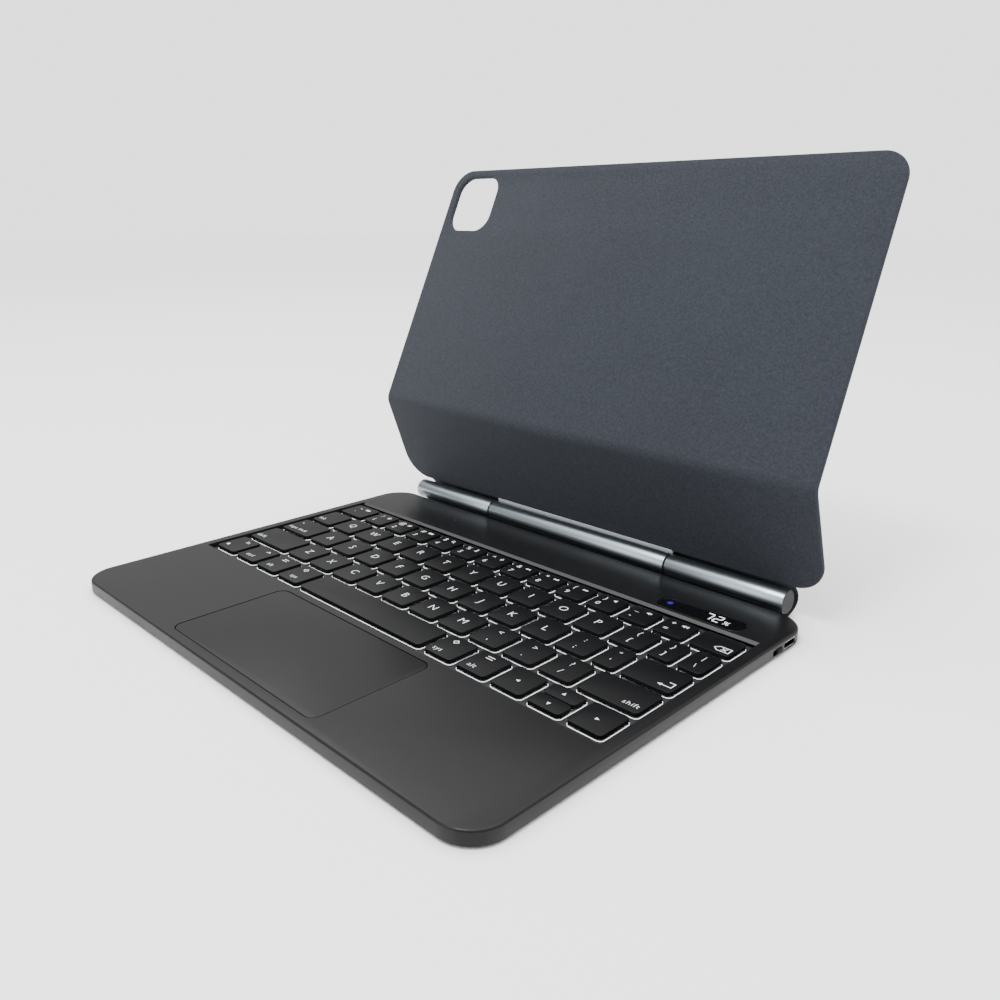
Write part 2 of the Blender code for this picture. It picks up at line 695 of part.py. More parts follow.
def spine_outline():
    """The spine skin's section: from behind the base's foot, round the barrel, to the lid's back."""
    outer = [Vector((FRONT + y * MM, z * MM)) for y, z in SPINE_SECTION]
    inner = []
    for i, point in enumerate(outer):
        before = outer[max(i - 1, 0)]
        after = outer[min(i + 1, len(outer) - 1)]
        run = (after - before).normalized()
        inner.append(point + SPINE_THICK * Vector((-run.y, run.x)))
    return outer + inner[::-1]


def make_spine():
    """The flexible skin behind the barrel."""
    add("spine_skin", profile_along_x(spine_outline(), SPINE_HALF), OUTER_SKIN)


def main():
    cells = key_cells()
    make_deck()
    make_floor()
    make_keyboard_stack()
    make_key_web(cells)
    make_keys(cells)
    make_trackpad()
    make_electronics()
    make_port_and_switch()
    make_outer_barrels()
    hinge = empty("lid_hinge_axis", (0, BARREL_Y, BARREL_Z), -LID_OPEN)
    make_lid_hinge(hinge)
    make_lower_panel(hinge)
    crease = empty("crease_axis", (0, -LID_START - LOWER_LENGTH, LID_DROP), -CREASE_FOLD, hinge)
    make_upper_panel(crease)
    make_spine()


main()
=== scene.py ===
"""The looks of a tablet keyboard case: keyboard base, barrel hinge and a creased fabric lid.

Lengths are in millimetres. X runs to the user's right from the middle of the case, Y runs back from
the base's front edge, and Z runs up from the desk. A piece's mesh is turned to metres when it is made.
"""

import json
import math

import bmesh
import bpy
from mathutils import Matrix, Vector

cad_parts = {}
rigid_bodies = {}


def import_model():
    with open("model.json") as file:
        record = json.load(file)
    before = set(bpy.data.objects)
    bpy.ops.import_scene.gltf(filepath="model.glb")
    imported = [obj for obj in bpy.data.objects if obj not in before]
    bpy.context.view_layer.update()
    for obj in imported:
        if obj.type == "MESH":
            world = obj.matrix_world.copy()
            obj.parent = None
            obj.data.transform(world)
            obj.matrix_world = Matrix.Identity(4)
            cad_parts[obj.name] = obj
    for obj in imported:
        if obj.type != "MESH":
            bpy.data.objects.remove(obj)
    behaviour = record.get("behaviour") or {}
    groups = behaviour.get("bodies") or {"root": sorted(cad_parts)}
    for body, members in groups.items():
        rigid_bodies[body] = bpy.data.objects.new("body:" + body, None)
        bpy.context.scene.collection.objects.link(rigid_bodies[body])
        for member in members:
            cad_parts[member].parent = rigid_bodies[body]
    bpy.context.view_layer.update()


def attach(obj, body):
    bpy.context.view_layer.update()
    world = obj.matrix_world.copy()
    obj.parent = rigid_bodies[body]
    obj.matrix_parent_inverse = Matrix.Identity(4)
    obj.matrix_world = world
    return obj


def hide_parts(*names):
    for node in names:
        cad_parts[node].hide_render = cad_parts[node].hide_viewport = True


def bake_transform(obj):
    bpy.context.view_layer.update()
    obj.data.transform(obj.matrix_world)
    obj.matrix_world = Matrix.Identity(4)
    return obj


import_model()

# The base
FRONT_TO_ORIGIN = 92.0
BASE_HALF = 125.0
BASE_DEPTH = 184.0
BASE_CORNER = 13.5
BASE_FOOT = 0.5
DECK_TOP = 6.0
DECK_PLATE = 1.2
RIM = 0.95
FOOT_RIM = 0.8
WALL = 1.6

# The key well, and the keys in it
WELL_HALF = 119.9
WELL_FRONT = 58.7
WELL_REAR = 151.4
STRIP_HALF = 119.75
STRIP_FRONT = 152.75
STRIP_FOOT = 4.85
STRIP_REAR = 153.75
SKIRT = 0.6
MOUNT_SLOT = 42.0
WEB_TOP = 3.9
WEB_BASE = 3.0
LIGHT_TOP = 4.02
LIGHT_WIDTH = 0.1
LIGHT_AWAY = 0.1
KEY_CLEARANCE = 0.06
KEY_FIELD = 118.8
KEY_GAP = 2.8
KEY_BASE = 4.5
KEY_CORNER = 1.75
KEY_RIM = 0.2
ROW_FRONT = 60.9
ROW_PITCH = 18.3
TOP_ROW_CELL = 16.5
UNIT = 17.65
NUMBER_UNIT = 16.475
ARROW_UNIT = 17.12
CAPS_WIDTH = 24.4
SHIFT_WIDTH = 32.8
NARROW = 12.9
SPLIT = 0.25

# The trackpad and the display
PAD_HALF = 47.4
PAD_FRONT = 4.6
PAD_REAR = 55.3
PAD_CORNER = 4.0
PAD_GAP = 0.35
DISPLAY = (90.5, 160.2)
DISPLAY_HALF = (19.7, 5.3)
DIGITS = ((93.9, "abc"), (98.2, "abdeg"))
DIGIT_HALF = (1.35, 2.7)
DIGIT_Y = 160.5
DIGIT_STROKE = 0.62
PER_CENT = (102.4, 159.2)
STATUS_LIGHT = (76.0, 160.4)

# The right-hand side
PORT = (167.6, 2.95)
PORT_HALF = (4.7, 1.6)
PORT_REACH = 7.5
PORT_BORE_DEPTH = 6.6
TONGUE_HALF = (3.1, 0.33)
CONTACT_PITCH = 0.7
SWITCH = (158.0, 2.9)
SWITCH_HALF = (3.5, 1.15)
SWITCH_REST = 1.2
KNOB_HALF = (1.7, 0.85)
RIB_PITCH = 0.7

# The barrel hinge
BARREL = (190.2, 8.4)
BARREL_RADIUS = 5.0
BARREL_BORE = 4.25
BARREL_HALF = 112.0
BARREL_SEAM = 55.0
SEAM_HALF = 0.45
BARREL_EDGE = 0.12
WASHER_RADII = (1.7, 4.45)
CAP_THICK = 0.2

# The lid
LID_HALF = 125.6
LID_THICK = 2.6
LID_SPLIT = 1.3
LID_DROP = 4.56
LID_START = 3.91
LOWER_LENGTH = 50.63
UPPER_LENGTH = 135.7
LOWER_LEAN = math.radians(180 - 69.6)
UPPER_LEAN = math.radians(180 - 69.6 - 45.4)
LOWER_CORNER = 14.5
UPPER_CORNER = 12.0
LID_RIM = 0.95
CREASE_REACH = 3.2
CAMERA_HOLE = (-120.3, -90.6, 100.2, 131.2)
CAMERA_CORNER = 9.0
SPINE_HALF = 111.5
SPINE_THICK = 0.45
SPINE_SECTION = (
    (184.35, 0.35), (188.5, 0.75), (192.3, 1.25), (195.6, 2.15), (198.2, 3.5), (199.8, 5.4),
    (200.1, 7.6), (199.4, 9.6), (198.2, 11.3), (197.0, 12.7), (196.0, 13.75), (194.9, 14.2),
)


# ---------------------------------------------------------------- finishes


def group(name, inputs, outputs):
    """An empty shader group with float inputs (name, value) and float outputs."""
    tree = bpy.data.node_groups.new(name, "ShaderNodeTree")
    for label, value in inputs:
        socket = tree.interface.new_socket(label, in_out="INPUT", socket_type="NodeSocketFloat")
        socket.default_value = value
    for label in outputs:
        tree.interface.new_socket(label, in_out="OUTPUT", socket_type="NodeSocketFloat")
    return tree, tree.nodes.new("NodeGroupInput"), tree.nodes.new("NodeGroupOutput")


def noise(tree, vector, scale, detail=4.0, rough=0.55):
    """A noise texture on a vector, at a linked scale."""
    node = tree.nodes.new("ShaderNodeTexNoise")
    node.inputs["Detail"].default_value = detail
    node.inputs["Roughness"].default_value = rough
    tree.links.new(vector, node.inputs["Vector"])
    tree.links.new(scale, node.inputs["Scale"])
    return node.outputs["Fac"]


def sum_of(tree, operation, first, second):
    """A maths node on two sockets or numbers."""
    node = tree.nodes.new("ShaderNodeMath")
    node.operation = operation
    for value, socket in zip((first, second), node.inputs):
        if isinstance(value, (int, float)):
            socket.default_value = value
        else:
            tree.links.new(value, socket)
    return node.outputs[0]


def remap(tree, value, low, high, to_low, to_high):
    """A value moved from one range to another, held within it."""
    node = tree.nodes.new("ShaderNodeMapRange")
    node.inputs["From Min"].default_value = low
    node.inputs["From Max"].default_value = high
    node.inputs["To Min"].default_value = to_low
    node.inputs["To Max"].default_value = to_high
    tree.links.new(value, node.inputs["Value"])
    return node.outputs["Result"]


def moulded_grain():
    """Fine moulded texture with faint handling marks, for plastic and paint."""
    tree, given, out = group(
        "moulded_grain",
        (("Grain Scale", 2600.0), ("Mark Scale", 18.0)),
        ("Shade", "Marks", "Height"),
    )
    place = tree.nodes.new("ShaderNodeTexCoord").outputs["Object"]
    grain = noise(tree, place, given.outputs["Grain Scale"], 2.0)
    marks = noise(tree, place, given.outputs["Mark Scale"], 5.0, 0.62)
    tree.links.new(remap(tree, grain, 0.3, 0.7, 0.86, 1.14), out.inputs["Shade"])
    tree.links.new(remap(tree, marks, 0.3, 0.75, 0.0, 1.0), out.inputs["Marks"])
    tree.links.new(grain, out.inputs["Height"])
    return tree


def suede_nap():
    """The nap of brushed microfibre: a fine pile, pressed into soft patches."""
    tree, given, out = group(
        "suede_nap",
        (("Pile Scale", 1900.0), ("Patch Scale", 900.0), ("Cloud Scale", 22.0)),
        ("Shade", "Height"),
    )
    place = tree.nodes.new("ShaderNodeTexCoord").outputs["Object"]
    pile = noise(tree, place, given.outputs["Pile Scale"], 3.0, 0.7)
    patches = noise(tree, place, given.outputs["Patch Scale"], 4.0, 0.6)
    clouds = noise(tree, place, given.outputs["Cloud Scale"], 3.0, 0.5)
    fine = remap(tree, pile, 0.25, 0.75, -0.24, 0.24)
    middle = remap(tree, patches, 0.3, 0.7, -0.26, 0.26)
    broad = remap(tree, clouds, 0.3, 0.7, 0.96, 1.04)
    shade = sum_of(tree, "ADD", broad, sum_of(tree, "ADD", fine, middle))
    tree.links.new(shade, out.inputs["Shade"])
    tree.links.new(sum_of(tree, "ADD", pile, sum_of(tree, "MULTIPLY", patches, 1.5)), out.inputs["Height"])
    return tree


def brushed_lines():
    """Lines drawn along X, for turned and brushed metal."""
    tree, given, out = group("brushed_lines", (("Line Scale", 1400.0),), ("Shade", "Lines"))
    place = tree.nodes.new("ShaderNodeTexCoord").outputs["Object"]
    stretch = tree.nodes.new("ShaderNodeMapping")
    stretch.inputs["Scale"].default_value = (0.01, 1.0, 1.0)
    tree.links.new(place, stretch.inputs["Vector"])
    lines = noise(tree, stretch.outputs["Vector"], given.outputs["Line Scale"], 3.0)
    tree.links.new(remap(tree, lines, 0.3, 0.7, 0.92, 1.08), out.inputs["Shade"])
    tree.links.new(lines, out.inputs["Lines"])
    return tree


GRAIN = moulded_grain()
NAP = suede_nap()
BRUSHED = brushed_lines()


def start_finish(name, effect):
    """A material with its shader and one effect group."""
    made = bpy.data.materials.new(name)
    made.use_nodes = True
    tree = made.node_tree
    shader = tree.nodes["Principled BSDF"]
    node = tree.nodes.new("ShaderNodeGroup")
    node.node_tree = effect
    return made, tree, shader, node


def tint(tree, shader, colour, shade, socket="Base Color"):
    """A colour times a shade that changes over the surface."""
    node = tree.nodes.new("ShaderNodeVectorMath")
    node.operation = "SCALE"
    node.inputs[0].default_value = colour
    tree.links.new(shade, node.inputs["Scale"])
    tree.links.new(node.outputs["Vector"], shader.inputs[socket])


def bump(tree, shader, height, strength, distance):
    """Relief from a height."""
    node = tree.nodes.new("ShaderNodeBump")
    node.inputs["Strength"].default_value = strength
    node.inputs["Distance"].default_value = distance
    tree.links.new(height, node.inputs["Height"])
    tree.links.new(node.outputs["Normal"], shader.inputs["Normal"])


def moulded(
    name, colour, roughness, grain=2600.0, relief=0.25, metallic=0.0, spread=0.06, coat=0.0, gloss=0.3
):
    """Plastic or paint with moulded grain; handling marks change its roughness."""
    made, tree, shader, node = start_finish(name, GRAIN)
    node.inputs["Grain Scale"].default_value = grain
    tint(tree, shader, colour, node.outputs["Shade"])
    rough = remap(tree, node.outputs["Marks"], 0.0, 1.0, roughness - spread, roughness + spread)
    tree.links.new(rough, shader.inputs["Roughness"])
    shader.inputs["Metallic"].default_value = metallic
    shader.inputs["Coat Weight"].default_value = coat
    shader.inputs["Specular IOR Level"].default_value = gloss
    bump(tree, shader, node.outputs["Height"], relief, 0.00003)
    return made


def suede(name, colour, patch=900.0, relief=0.5):
    """Brushed microfibre with a soft sheen."""
    made, tree, shader, node = start_finish(name, NAP)
    node.inputs["Patch Scale"].default_value = patch
    tint(tree, shader, colour, node.outputs["Shade"])
    shader.inputs["Roughness"].default_value = 0.92
    shader.inputs["Specular IOR Level"].default_value = 0.25
    shader.inputs["Sheen Weight"].default_value = 0.05
    shader.inputs["Sheen Roughness"].default_value = 0.5
    bump(tree, shader, node.outputs["Height"], relief, 0.0001)
    return made


def metal(name, colour, low=0.16, high=0.26):
    """Satin metal with lines along X."""
    made, tree, shader, node = start_finish(name, BRUSHED)
    tint(tree, shader, colour, node.outputs["Shade"])
    rough = remap(tree, node.outputs["Lines"], 0.3, 0.7, low, high)
    tree.links.new(rough, shader.inputs["Roughness"])
    shader.inputs["Metallic"].default_value = 1.0
    bump(tree, shader, node.outputs["Lines"], 0.06, 0.00002)
    return made


UNLIT_SHARE = 0.12


def glowing(name, colour, strength, flicker=0.12):
    """A lit surface, a little uneven along its length."""
    made, tree, shader, node = start_finish(name, GRAIN)
    node.inputs["Mark Scale"].default_value = 60.0
    shade = remap(tree, node.outputs["Marks"], 0.0, 1.0, 1 - flicker, 1 + flicker)
    tint(tree, shader, tuple(UNLIT_SHARE * part for part in colour), shade)
    tint(tree, shader, colour, shade, "Emission Color")
    shader.inputs["Emission Strength"].default_value = strength
    shader.inputs["Roughness"].default_value = 0.4
    return made


DECK_FINISH = moulded("satin_deck_paint", (0.0056, 0.0056, 0.0059), 0.32, relief=0.06, gloss=0.17)
WALL_FINISH = moulded("side_wall_paint", (0.006, 0.006, 0.0062), 0.4, relief=0.08, gloss=0.2)
# The rear strip's paint is several times lighter than the deck's: a painted highlight for the light its
# sloping face catches.
STRIP_HIGHLIGHT_FINISH = moulded("well_strip_painted_highlight", (0.034, 0.034, 0.035), 0.45, relief=0.1)
PAD_FINISH = moulded(
    "smooth_trackpad", (0.0053, 0.0053, 0.0056), 0.32, grain=3200.0, relief=0.05, gloss=0.15
)
KEY_FINISH = moulded("soft_key_plastic", (0.003, 0.0031, 0.0034), 0.4, relief=0.15, gloss=0.12)
# The key web is painted about twice as light as the deck paint it shares: painted light that lifts the
# shade in the gaps between the keys.
WEB_PAINTED_LIGHT_FINISH = moulded("key_web_painted_light", (0.012, 0.012, 0.0124), 0.5, relief=0.1, gloss=0.3)
DARK_FINISH = moulded("dark_inner_plastic", (0.005, 0.005, 0.0055), 0.55)
GLOSS_FINISH = moulded(
    "gloss_display", (0.002, 0.002, 0.0025), 0.1, relief=0.01, spread=0.02, coat=0.2
)
CAP_FINISH = moulded("barrel_cap_paint", (0.016, 0.0165, 0.019), 0.45, gloss=0.15)
FABRIC_FINISH = suede("blue_grey_suede", (0.0178, 0.0208, 0.0276))
SKIN_FINISH = suede("dark_outer_skin", (0.017, 0.019, 0.023), patch=1300.0, relief=0.35)
BOARD_FINISH = moulded("circuit_board", (0.02, 0.1, 0.05), 0.45)
CELL_FINISH = moulded("cell_pouch", (0.4, 0.4, 0.42), 0.35, metallic=0.8)
GUIDE_FINISH = moulded("light_guide", (0.5, 0.51, 0.53), 0.35)
BARREL_FINISH = metal("satin_barrel", (0.3, 0.34, 0.37), low=0.26, high=0.36)
BRACKET_FINISH = moulded("bracket_satin", (0.42, 0.44, 0.46), 0.4, relief=0.05)
STEEL_FINISH = metal("hinge_steel", (0.4, 0.4, 0.42))
PORT_FINISH = metal("port_steel", (0.26, 0.26, 0.27))
LEGEND_FINISH = glowing("lit_legend", (0.93, 0.95, 1.0), 1.6, 0.05)
LIGHT_FINISH = glowing("key_light", (0.95, 0.97, 1.0), 3.4)
BLUE_FINISH = glowing("blue_light", (0.07, 0.0, 1.0), 0.36)


# ---------------------------------------------------------------- meshes


def put(name, data):
    """An object in the scene, at the origin."""
    obj = bpy.data.objects.new(name, data)
    bpy.context.scene.collection.objects.link(obj)
    return obj


def as_data(name, mesh):
    """Mesh data from a bmesh, which is freed."""
    data = bpy.data.meshes.new(name)
    mesh.to_mesh(data)
    mesh.free()
    return data


def piece(name, mesh, finishes, body, replaced=(), sharp=35):
    """A finished object in metres from a bmesh in millimetres, riding on its body."""
    bmesh.ops.translate(mesh, vec=(0, -FRONT_TO_ORIGIN, 0), verts=mesh.verts)
    bmesh.ops.scale(mesh, vec=(0.001, 0.001, 0.001), verts=mesh.verts)
    data = as_data(name, mesh)
    obj = put(name, data)
    for finish in finishes:
        data.materials.append(finish)
    data.shade_smooth()
    data.set_sharp_from_angle(angle=math.radians(sharp))
    if replaced:
        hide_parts(*replaced)
    if body:
        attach(obj, body)
    return obj


def outward(mesh):
    """Turn every face of a closed bmesh outwards."""
    bmesh.ops.recalc_face_normals(mesh, faces=mesh.faces)


def rounded(x0, x1, y0, y1, radius, steps=6):
    """The corners of a rounded rectangle, anticlockwise from its lower right."""
    points = []
    centres = ((x1, y0, 1, -1, -90), (x1, y1, 1, 1, 0), (x0, y1, -1, 1, 90), (x0, y0, -1, -1, 180))
    for x, y, sx, sy, start in centres:
        cx = x - sx * radius
        cy = y - sy * radius
        for i in range(steps + 1):
            a = math.radians(start + 90 * i / steps)
            points.append((cx + radius * math.cos(a), cy + radius * math.sin(a)))
    return points


def skin_rings(mesh, rings):
    """Faces between rings of points, each with as many points as the last, and across both ends."""
    made = [[mesh.verts.new(point) for point in ring] for ring in rings]
    for low, high in zip(made, made[1:]):
        for i in range(len(low)):
            j = (i + 1) % len(low)
            mesh.faces.new((low[i], low[j], high[j], high[i]))
    mesh.faces.new(made[0][::-1])
    mesh.faces.new(made[-1])


def slab_rings(plan, low, high, corner, rim=0.0, foot=0.0, steps=6, rim_steps=4):
    """Rings for a rounded slab, its top and bottom rims rounded too."""
    x0, x1, y0, y1 = plan

    def ring(inset, z):
        outline = rounded(x0 + inset, x1 - inset, y0 + inset, y1 - inset, corner - inset, steps)
        return [(x, y, z) for x, y in outline]

    turns = [math.pi / 2 * i / rim_steps for i in range(rim_steps + 1)]
    rings = []
    for a in turns if foot else turns[:1]:
        rings.append(ring(foot * (1 - math.sin(a)), low + foot * (1 - math.cos(a))))
    for a in turns if rim else turns[:1]:
        rings.append(ring(rim * (1 - math.cos(a)), high - rim * (1 - math.sin(a))))
    return rings


def slab(plan, low, high, corner, rim=0.0, foot=0.0, steps=6):
    """A bmesh of one rounded slab."""
    mesh = bmesh.new()
    skin_rings(mesh, slab_rings(plan, low, high, corner, rim, foot, steps))
    return mesh


def box(low, high):
    """A plain bmesh box, for cutting."""
    mesh = bmesh.new()
    plan = [(low[0], low[1]), (high[0], low[1]), (high[0], high[1]), (low[0], high[1])]
    skin_rings(mesh, [[(x, y, z) for x, y in plan] for z in (low[2], high[2])])
    return mesh


def across(start, end, outline):
    """A bmesh that runs a closed outline in Y and Z along X."""
    mesh = bmesh.new()
    skin_rings(mesh, [[(x, y, z) for y, z in outline] for x in (start, end)])
    return mesh


def turned(profile, sides=96):
    """A closed bmesh turned about the barrel's axis, from a closed profile of (x, radius)."""
    mesh = bmesh.new()
    rings = []
    for i in range(sides):
        a = math.tau * i / sides
        back, up = math.cos(a), math.sin(a)
        rings.append([mesh.verts.new((x, BARREL[0] + r * back, BARREL[1] + r * up)) for x, r in profile])
    count = len(profile)
    for i in range(sides):
        first = rings[i]
        second = rings[(i + 1) % sides]
        for j in range(count):
            k = (j + 1) % count
            mesh.faces.new((first[j], first[k], second[k], second[j]))
    outward(mesh)
    return mesh


def carved(name, body_mesh, cutters):
    """A bmesh with cutters taken from it, in millimetres."""
    helpers = []
    for i, mesh in enumerate([body_mesh, *cutters]):
        outward(mesh)
        helpers.append(put(f"{name}_{i}", as_data(f"{name}_{i}", mesh)))
    for i, cutter in enumerate(helpers[1:]):
        modifier = helpers[0].modifiers.new(f"cut_{i}", "BOOLEAN")
        modifier.operation = "DIFFERENCE"
        modifier.solver = "EXACT"
        modifier.object = cutter
    graph = bpy.context.evaluated_depsgraph_get()
    result = bmesh.new()
    result.from_mesh(helpers[0].evaluated_get(graph).to_mesh())
    for obj in helpers:
        data = obj.data
        bpy.data.objects.remove(obj)
        bpy.data.meshes.remove(data)
    return result


def lettering(text, x, y, z, height, bold=0.0):
    """Raised lettering as a bmesh, centred on a place."""
    curve = bpy.data.curves.new("lettering", "FONT")
    curve.body = text
    curve.size = height / CAPITAL_SHARE
    curve.align_x = "CENTER"
    curve.align_y = "CENTER"
    curve.extrude = LEGEND_LIFT
    curve.offset = bold
    curve.space_character = 1.0 if len(text) == 1 else WORD_SPREAD
    curve.resolution_u = 3
    obj = put("lettering", curve)
    graph = bpy.context.evaluated_depsgraph_get()
    data = bpy.data.meshes.new_from_object(obj.evaluated_get(graph))
    bpy.data.objects.remove(obj)
    mesh = bmesh.new()
    mesh.from_mesh(data)
    bpy.data.meshes.remove(data)
    bmesh.ops.remove_doubles(mesh, verts=mesh.verts, dist=0.0005)
    bmesh.ops.translate(mesh, vec=(x, y, z), verts=mesh.verts)
    return mesh


def prism(points, z):
    """A thin raised shape with a flat outline."""
    mesh = bmesh.new()
    skin_rings(mesh, [[(x, y, z + lift) for x, y in points] for lift in (-LEGEND_LIFT, LEGEND_LIFT)])
    outward(mesh)
    return mesh


def take_in(mesh, other, material=0):
    """Join another bmesh to this one, with a material of its own."""
    copies = {}
    for vert in other.verts:
        copies[vert] = mesh.verts.new(vert.co)
    for face in other.faces:
        try:
            made = mesh.faces.new([copies[vert] for vert in face.verts])
        except ValueError:
            continue
        made.material_index = material
    other.free()


# ---------------------------------------------------------------- keys

LEGEND_LIFT = 0.02
CAPITAL_SHARE = 0.7
LETTER = 3.8
SMALL = 2.9
WORD = 2.4
WORD_SPREAD = 1.12
LETTER_BOLD = -0.07
SMALL_BOLD = -0.045

# Where the legends of the number row stand, from each key's middle and in Y
NUMBER_IN = 2.8
NUMBER_LOW = 139.5
NUMBER_HIGH = 145.4
SIGN_OUT = 2.4
SIGN_Y = 145.6

# The two marks of a punctuation key, below and above its row's letters
PAIR_DROP = 3.3
PAIR_RISE = 3.2


def cell_run(node, row, start, pitch, count=1):
    """Full-height cells of one pitch, side by side."""
    return [(node, row, start + i * pitch, start + (i + 1) * pitch, 0, 1) for i in range(count)]


def key_cells():
    """Each key as its CAD node, row, left edge, right edge, and share of the row from front to back."""
    left = -KEY_FIELD
    numbers = left + (2 * KEY_FIELD - 12 * NUMBER_UNIT) / 2
    upper = left + UNIT
    home = left + CAPS_WIDTH
    lower = left + SHIFT_WIDTH
    quote = home + 10 * UNIT
    space_end = KEY_FIELD - 5 * ARROW_UNIT
    cells = [("number_keys", 0, left, numbers, 0, 1)]
    cells += cell_run("number_keys", 0, numbers, NUMBER_UNIT, 12)
    cells.append(("key_delete", 0, numbers + 12 * NUMBER_UNIT, KEY_FIELD, 0, 1))
    cells.append(("key_tab", 1, left, upper, 0, 1))
    cells += cell_run("upper_letter_keys", 1, upper, UNIT, 11)
    cells += cell_run("upper_letter_keys", 1, KEY_FIELD - 2 * NARROW, NARROW, 2)
    cells.append(("key_caps", 2, left, home, 0, 1))
    cells += cell_run("home_letter_keys", 2, home, UNIT, 10)
    cells += cell_run("home_letter_keys", 2, quote, NARROW)
    cells.append(("key_return", 2, quote + NARROW, KEY_FIELD, 0, 1))
    cells.append(("key_shift_left", 3, left, lower, 0, 1))
    cells += cell_run("lower_letter_keys", 3, lower, UNIT, 10)
    cells.append(("key_shift_right", 3, lower + 10 * UNIT, KEY_FIELD, 0, 1))
    for i, name in enumerate(("key_fn", "key_ctrl", "key_alt_left", "key_cmd_left")):
        cells += cell_run(name, 4, left + i * UNIT, UNIT)
    cells.append(("key_space", 4, left + 4 * UNIT, space_end, 0, 1))
    for i, name in enumerate(("key_cmd_right", "key_alt_right", "key_left", "key_down", "key_right")):
        low = space_end + i * ARROW_UNIT
        if name == "key_down":
            cells.append(("key_down", 4, low, low + ARROW_UNIT, 0, 0.5))
            cells.append(("key_up", 4, low, low + ARROW_UNIT, 0.5, 1))
        else:
            cells += cell_run(name, 4, low, ARROW_UNIT)
    return cells


def key_plan(cell):
    """A key's limits in plan: x from and to, y from and to."""
    _, row, left, right, low_share, high_share = cell
    front = ROW_FRONT + (4 - row) * ROW_PITCH + KEY_GAP / 2
    height = (TOP_ROW_CELL if row == 0 else ROW_PITCH) - KEY_GAP
    low = front + low_share * height + (SPLIT if low_share > 0 else 0)
    high = front + high_share * height - (SPLIT if high_share < 1 else 0)
    return left + KEY_GAP / 2, right - KEY_GAP / 2, low, high


def footprints(cells):
    """The plan of each key, the two half-height arrow keys taken as one."""
    plans = []
    for cell in cells:
        x0, x1, y0, y1 = key_plan(cell)
        if cell[0] == "key_down":
            y1 = y0 + ROW_PITCH - KEY_GAP
        if cell[0] != "key_up":
            plans.append((x0, x1, y0, y1))
    return plans


def triangle(x, y, size, toward):
    """A small arrowhead that points left, right, up or down."""
    a = {"right": 0, "up": 90, "left": 180, "down": 270}[toward]
    points = []
    for turn, reach in ((0, 1.0), (130, 0.95), (230, 0.95)):
        angle = math.radians(a + turn)
        points.append((x + size * reach * math.cos(angle), y + size * reach * math.sin(angle)))
    return prism(points, DECK_TOP)


def bar(x0, y0, x1, y1, width=0.35):
    """A straight stroke between two points."""
    run = Vector((x1 - x0, y1 - y0)).normalized() * width / 2
    side = Vector((-run.y, run.x))
    ends = (Vector((x0, y0)) - run, Vector((x1, y1)) + run)
    points = [ends[0] - side, ends[1] - side, ends[1] + side, ends[0] + side]
    return prism([tuple(p) for p in points], DECK_TOP)


def disc(x, y, radius, sides=14):
    """A filled dot."""
    turns = [math.tau * i / sides for i in range(sides)]
    return prism([(x + radius * math.cos(a), y + radius * math.sin(a)) for a in turns], DECK_TOP)


def strokes(points, width=0.35):
    """Straight strokes through points, one after another."""
    return [bar(*a, *b, width) for a, b in zip(points, points[1:])]


def icon(kind, x, y):
    """One of the small function signs of the number row."""
    if kind == "light":
        made = [disc(x, y, 0.55)]
        for a in (math.tau * i / 8 for i in range(8)):
            u, v = math.cos(a), math.sin(a)
            made.append(bar(x + 0.95 * u, y + 0.95 * v, x + 1.25 * u, y + 1.25 * v, 0.24))
        return made
    if kind == "windows":
        frame_half = 0.75
        frame = ((0, -frame_half), (0.9, -frame_half), (0.9, frame_half), (0, frame_half))
        return [prism([(x + at + u, y + v) for u, v in frame], DECK_TOP) for at in (-1.5, -0.45, 0.6)]
    if kind == "search":
        turns = [math.tau * i / 10 for i in range(11)]
        ring = [(x - 0.3 + 0.75 * math.cos(a), y + 0.3 + 0.75 * math.sin(a)) for a in turns]
        return strokes(ring, 0.3) + [bar(x + 0.3, y - 0.3, x + 1.0, y - 1.0, 0.36)]
    if kind == "microphone":
        stem = bar(x, y - 1.2, x, y - 0.7, 0.3)
        return [bar(x, y - 0.1, x, y + 0.9, 0.75), stem, bar(x - 0.6, y - 1.2, x + 0.6, y - 1.2, 0.3)]
    if kind == "quiet":
        return [bar(x - 0.8, y, x + 0.8, y, 0.34), disc(x, y + 0.9, 0.3), disc(x, y - 0.9, 0.3)]
    if kind in ("back", "next"):
        return [triangle(x + u, y, 0.9, "left" if kind == "back" else "right") for u in (-0.7, 0.7)]
    if kind == "play":
        bars = [bar(x + u, y - 0.6, x + u, y + 0.6, 0.32) for u in (0.6, 1.2)]
        return [triangle(x - 0.5, y, 0.9, "right"), *bars]
    horn = ((-1.4, -0.4), (-0.8, -0.4), (0, -1.0), (0, 1.0), (-0.8, 0.4), (-1.4, 0.4))
    made = [prism([(x + u, y + v) for u, v in horn], DECK_TOP)]
    if kind != "mute":
        made.append(bar(x + 0.6, y - 0.4, x + 0.6, y + 0.4, 0.3))
    if kind == "loud":
        made.append(bar(x + 1.2, y - 0.8, x + 1.2, y + 0.8, 0.3))
    return made


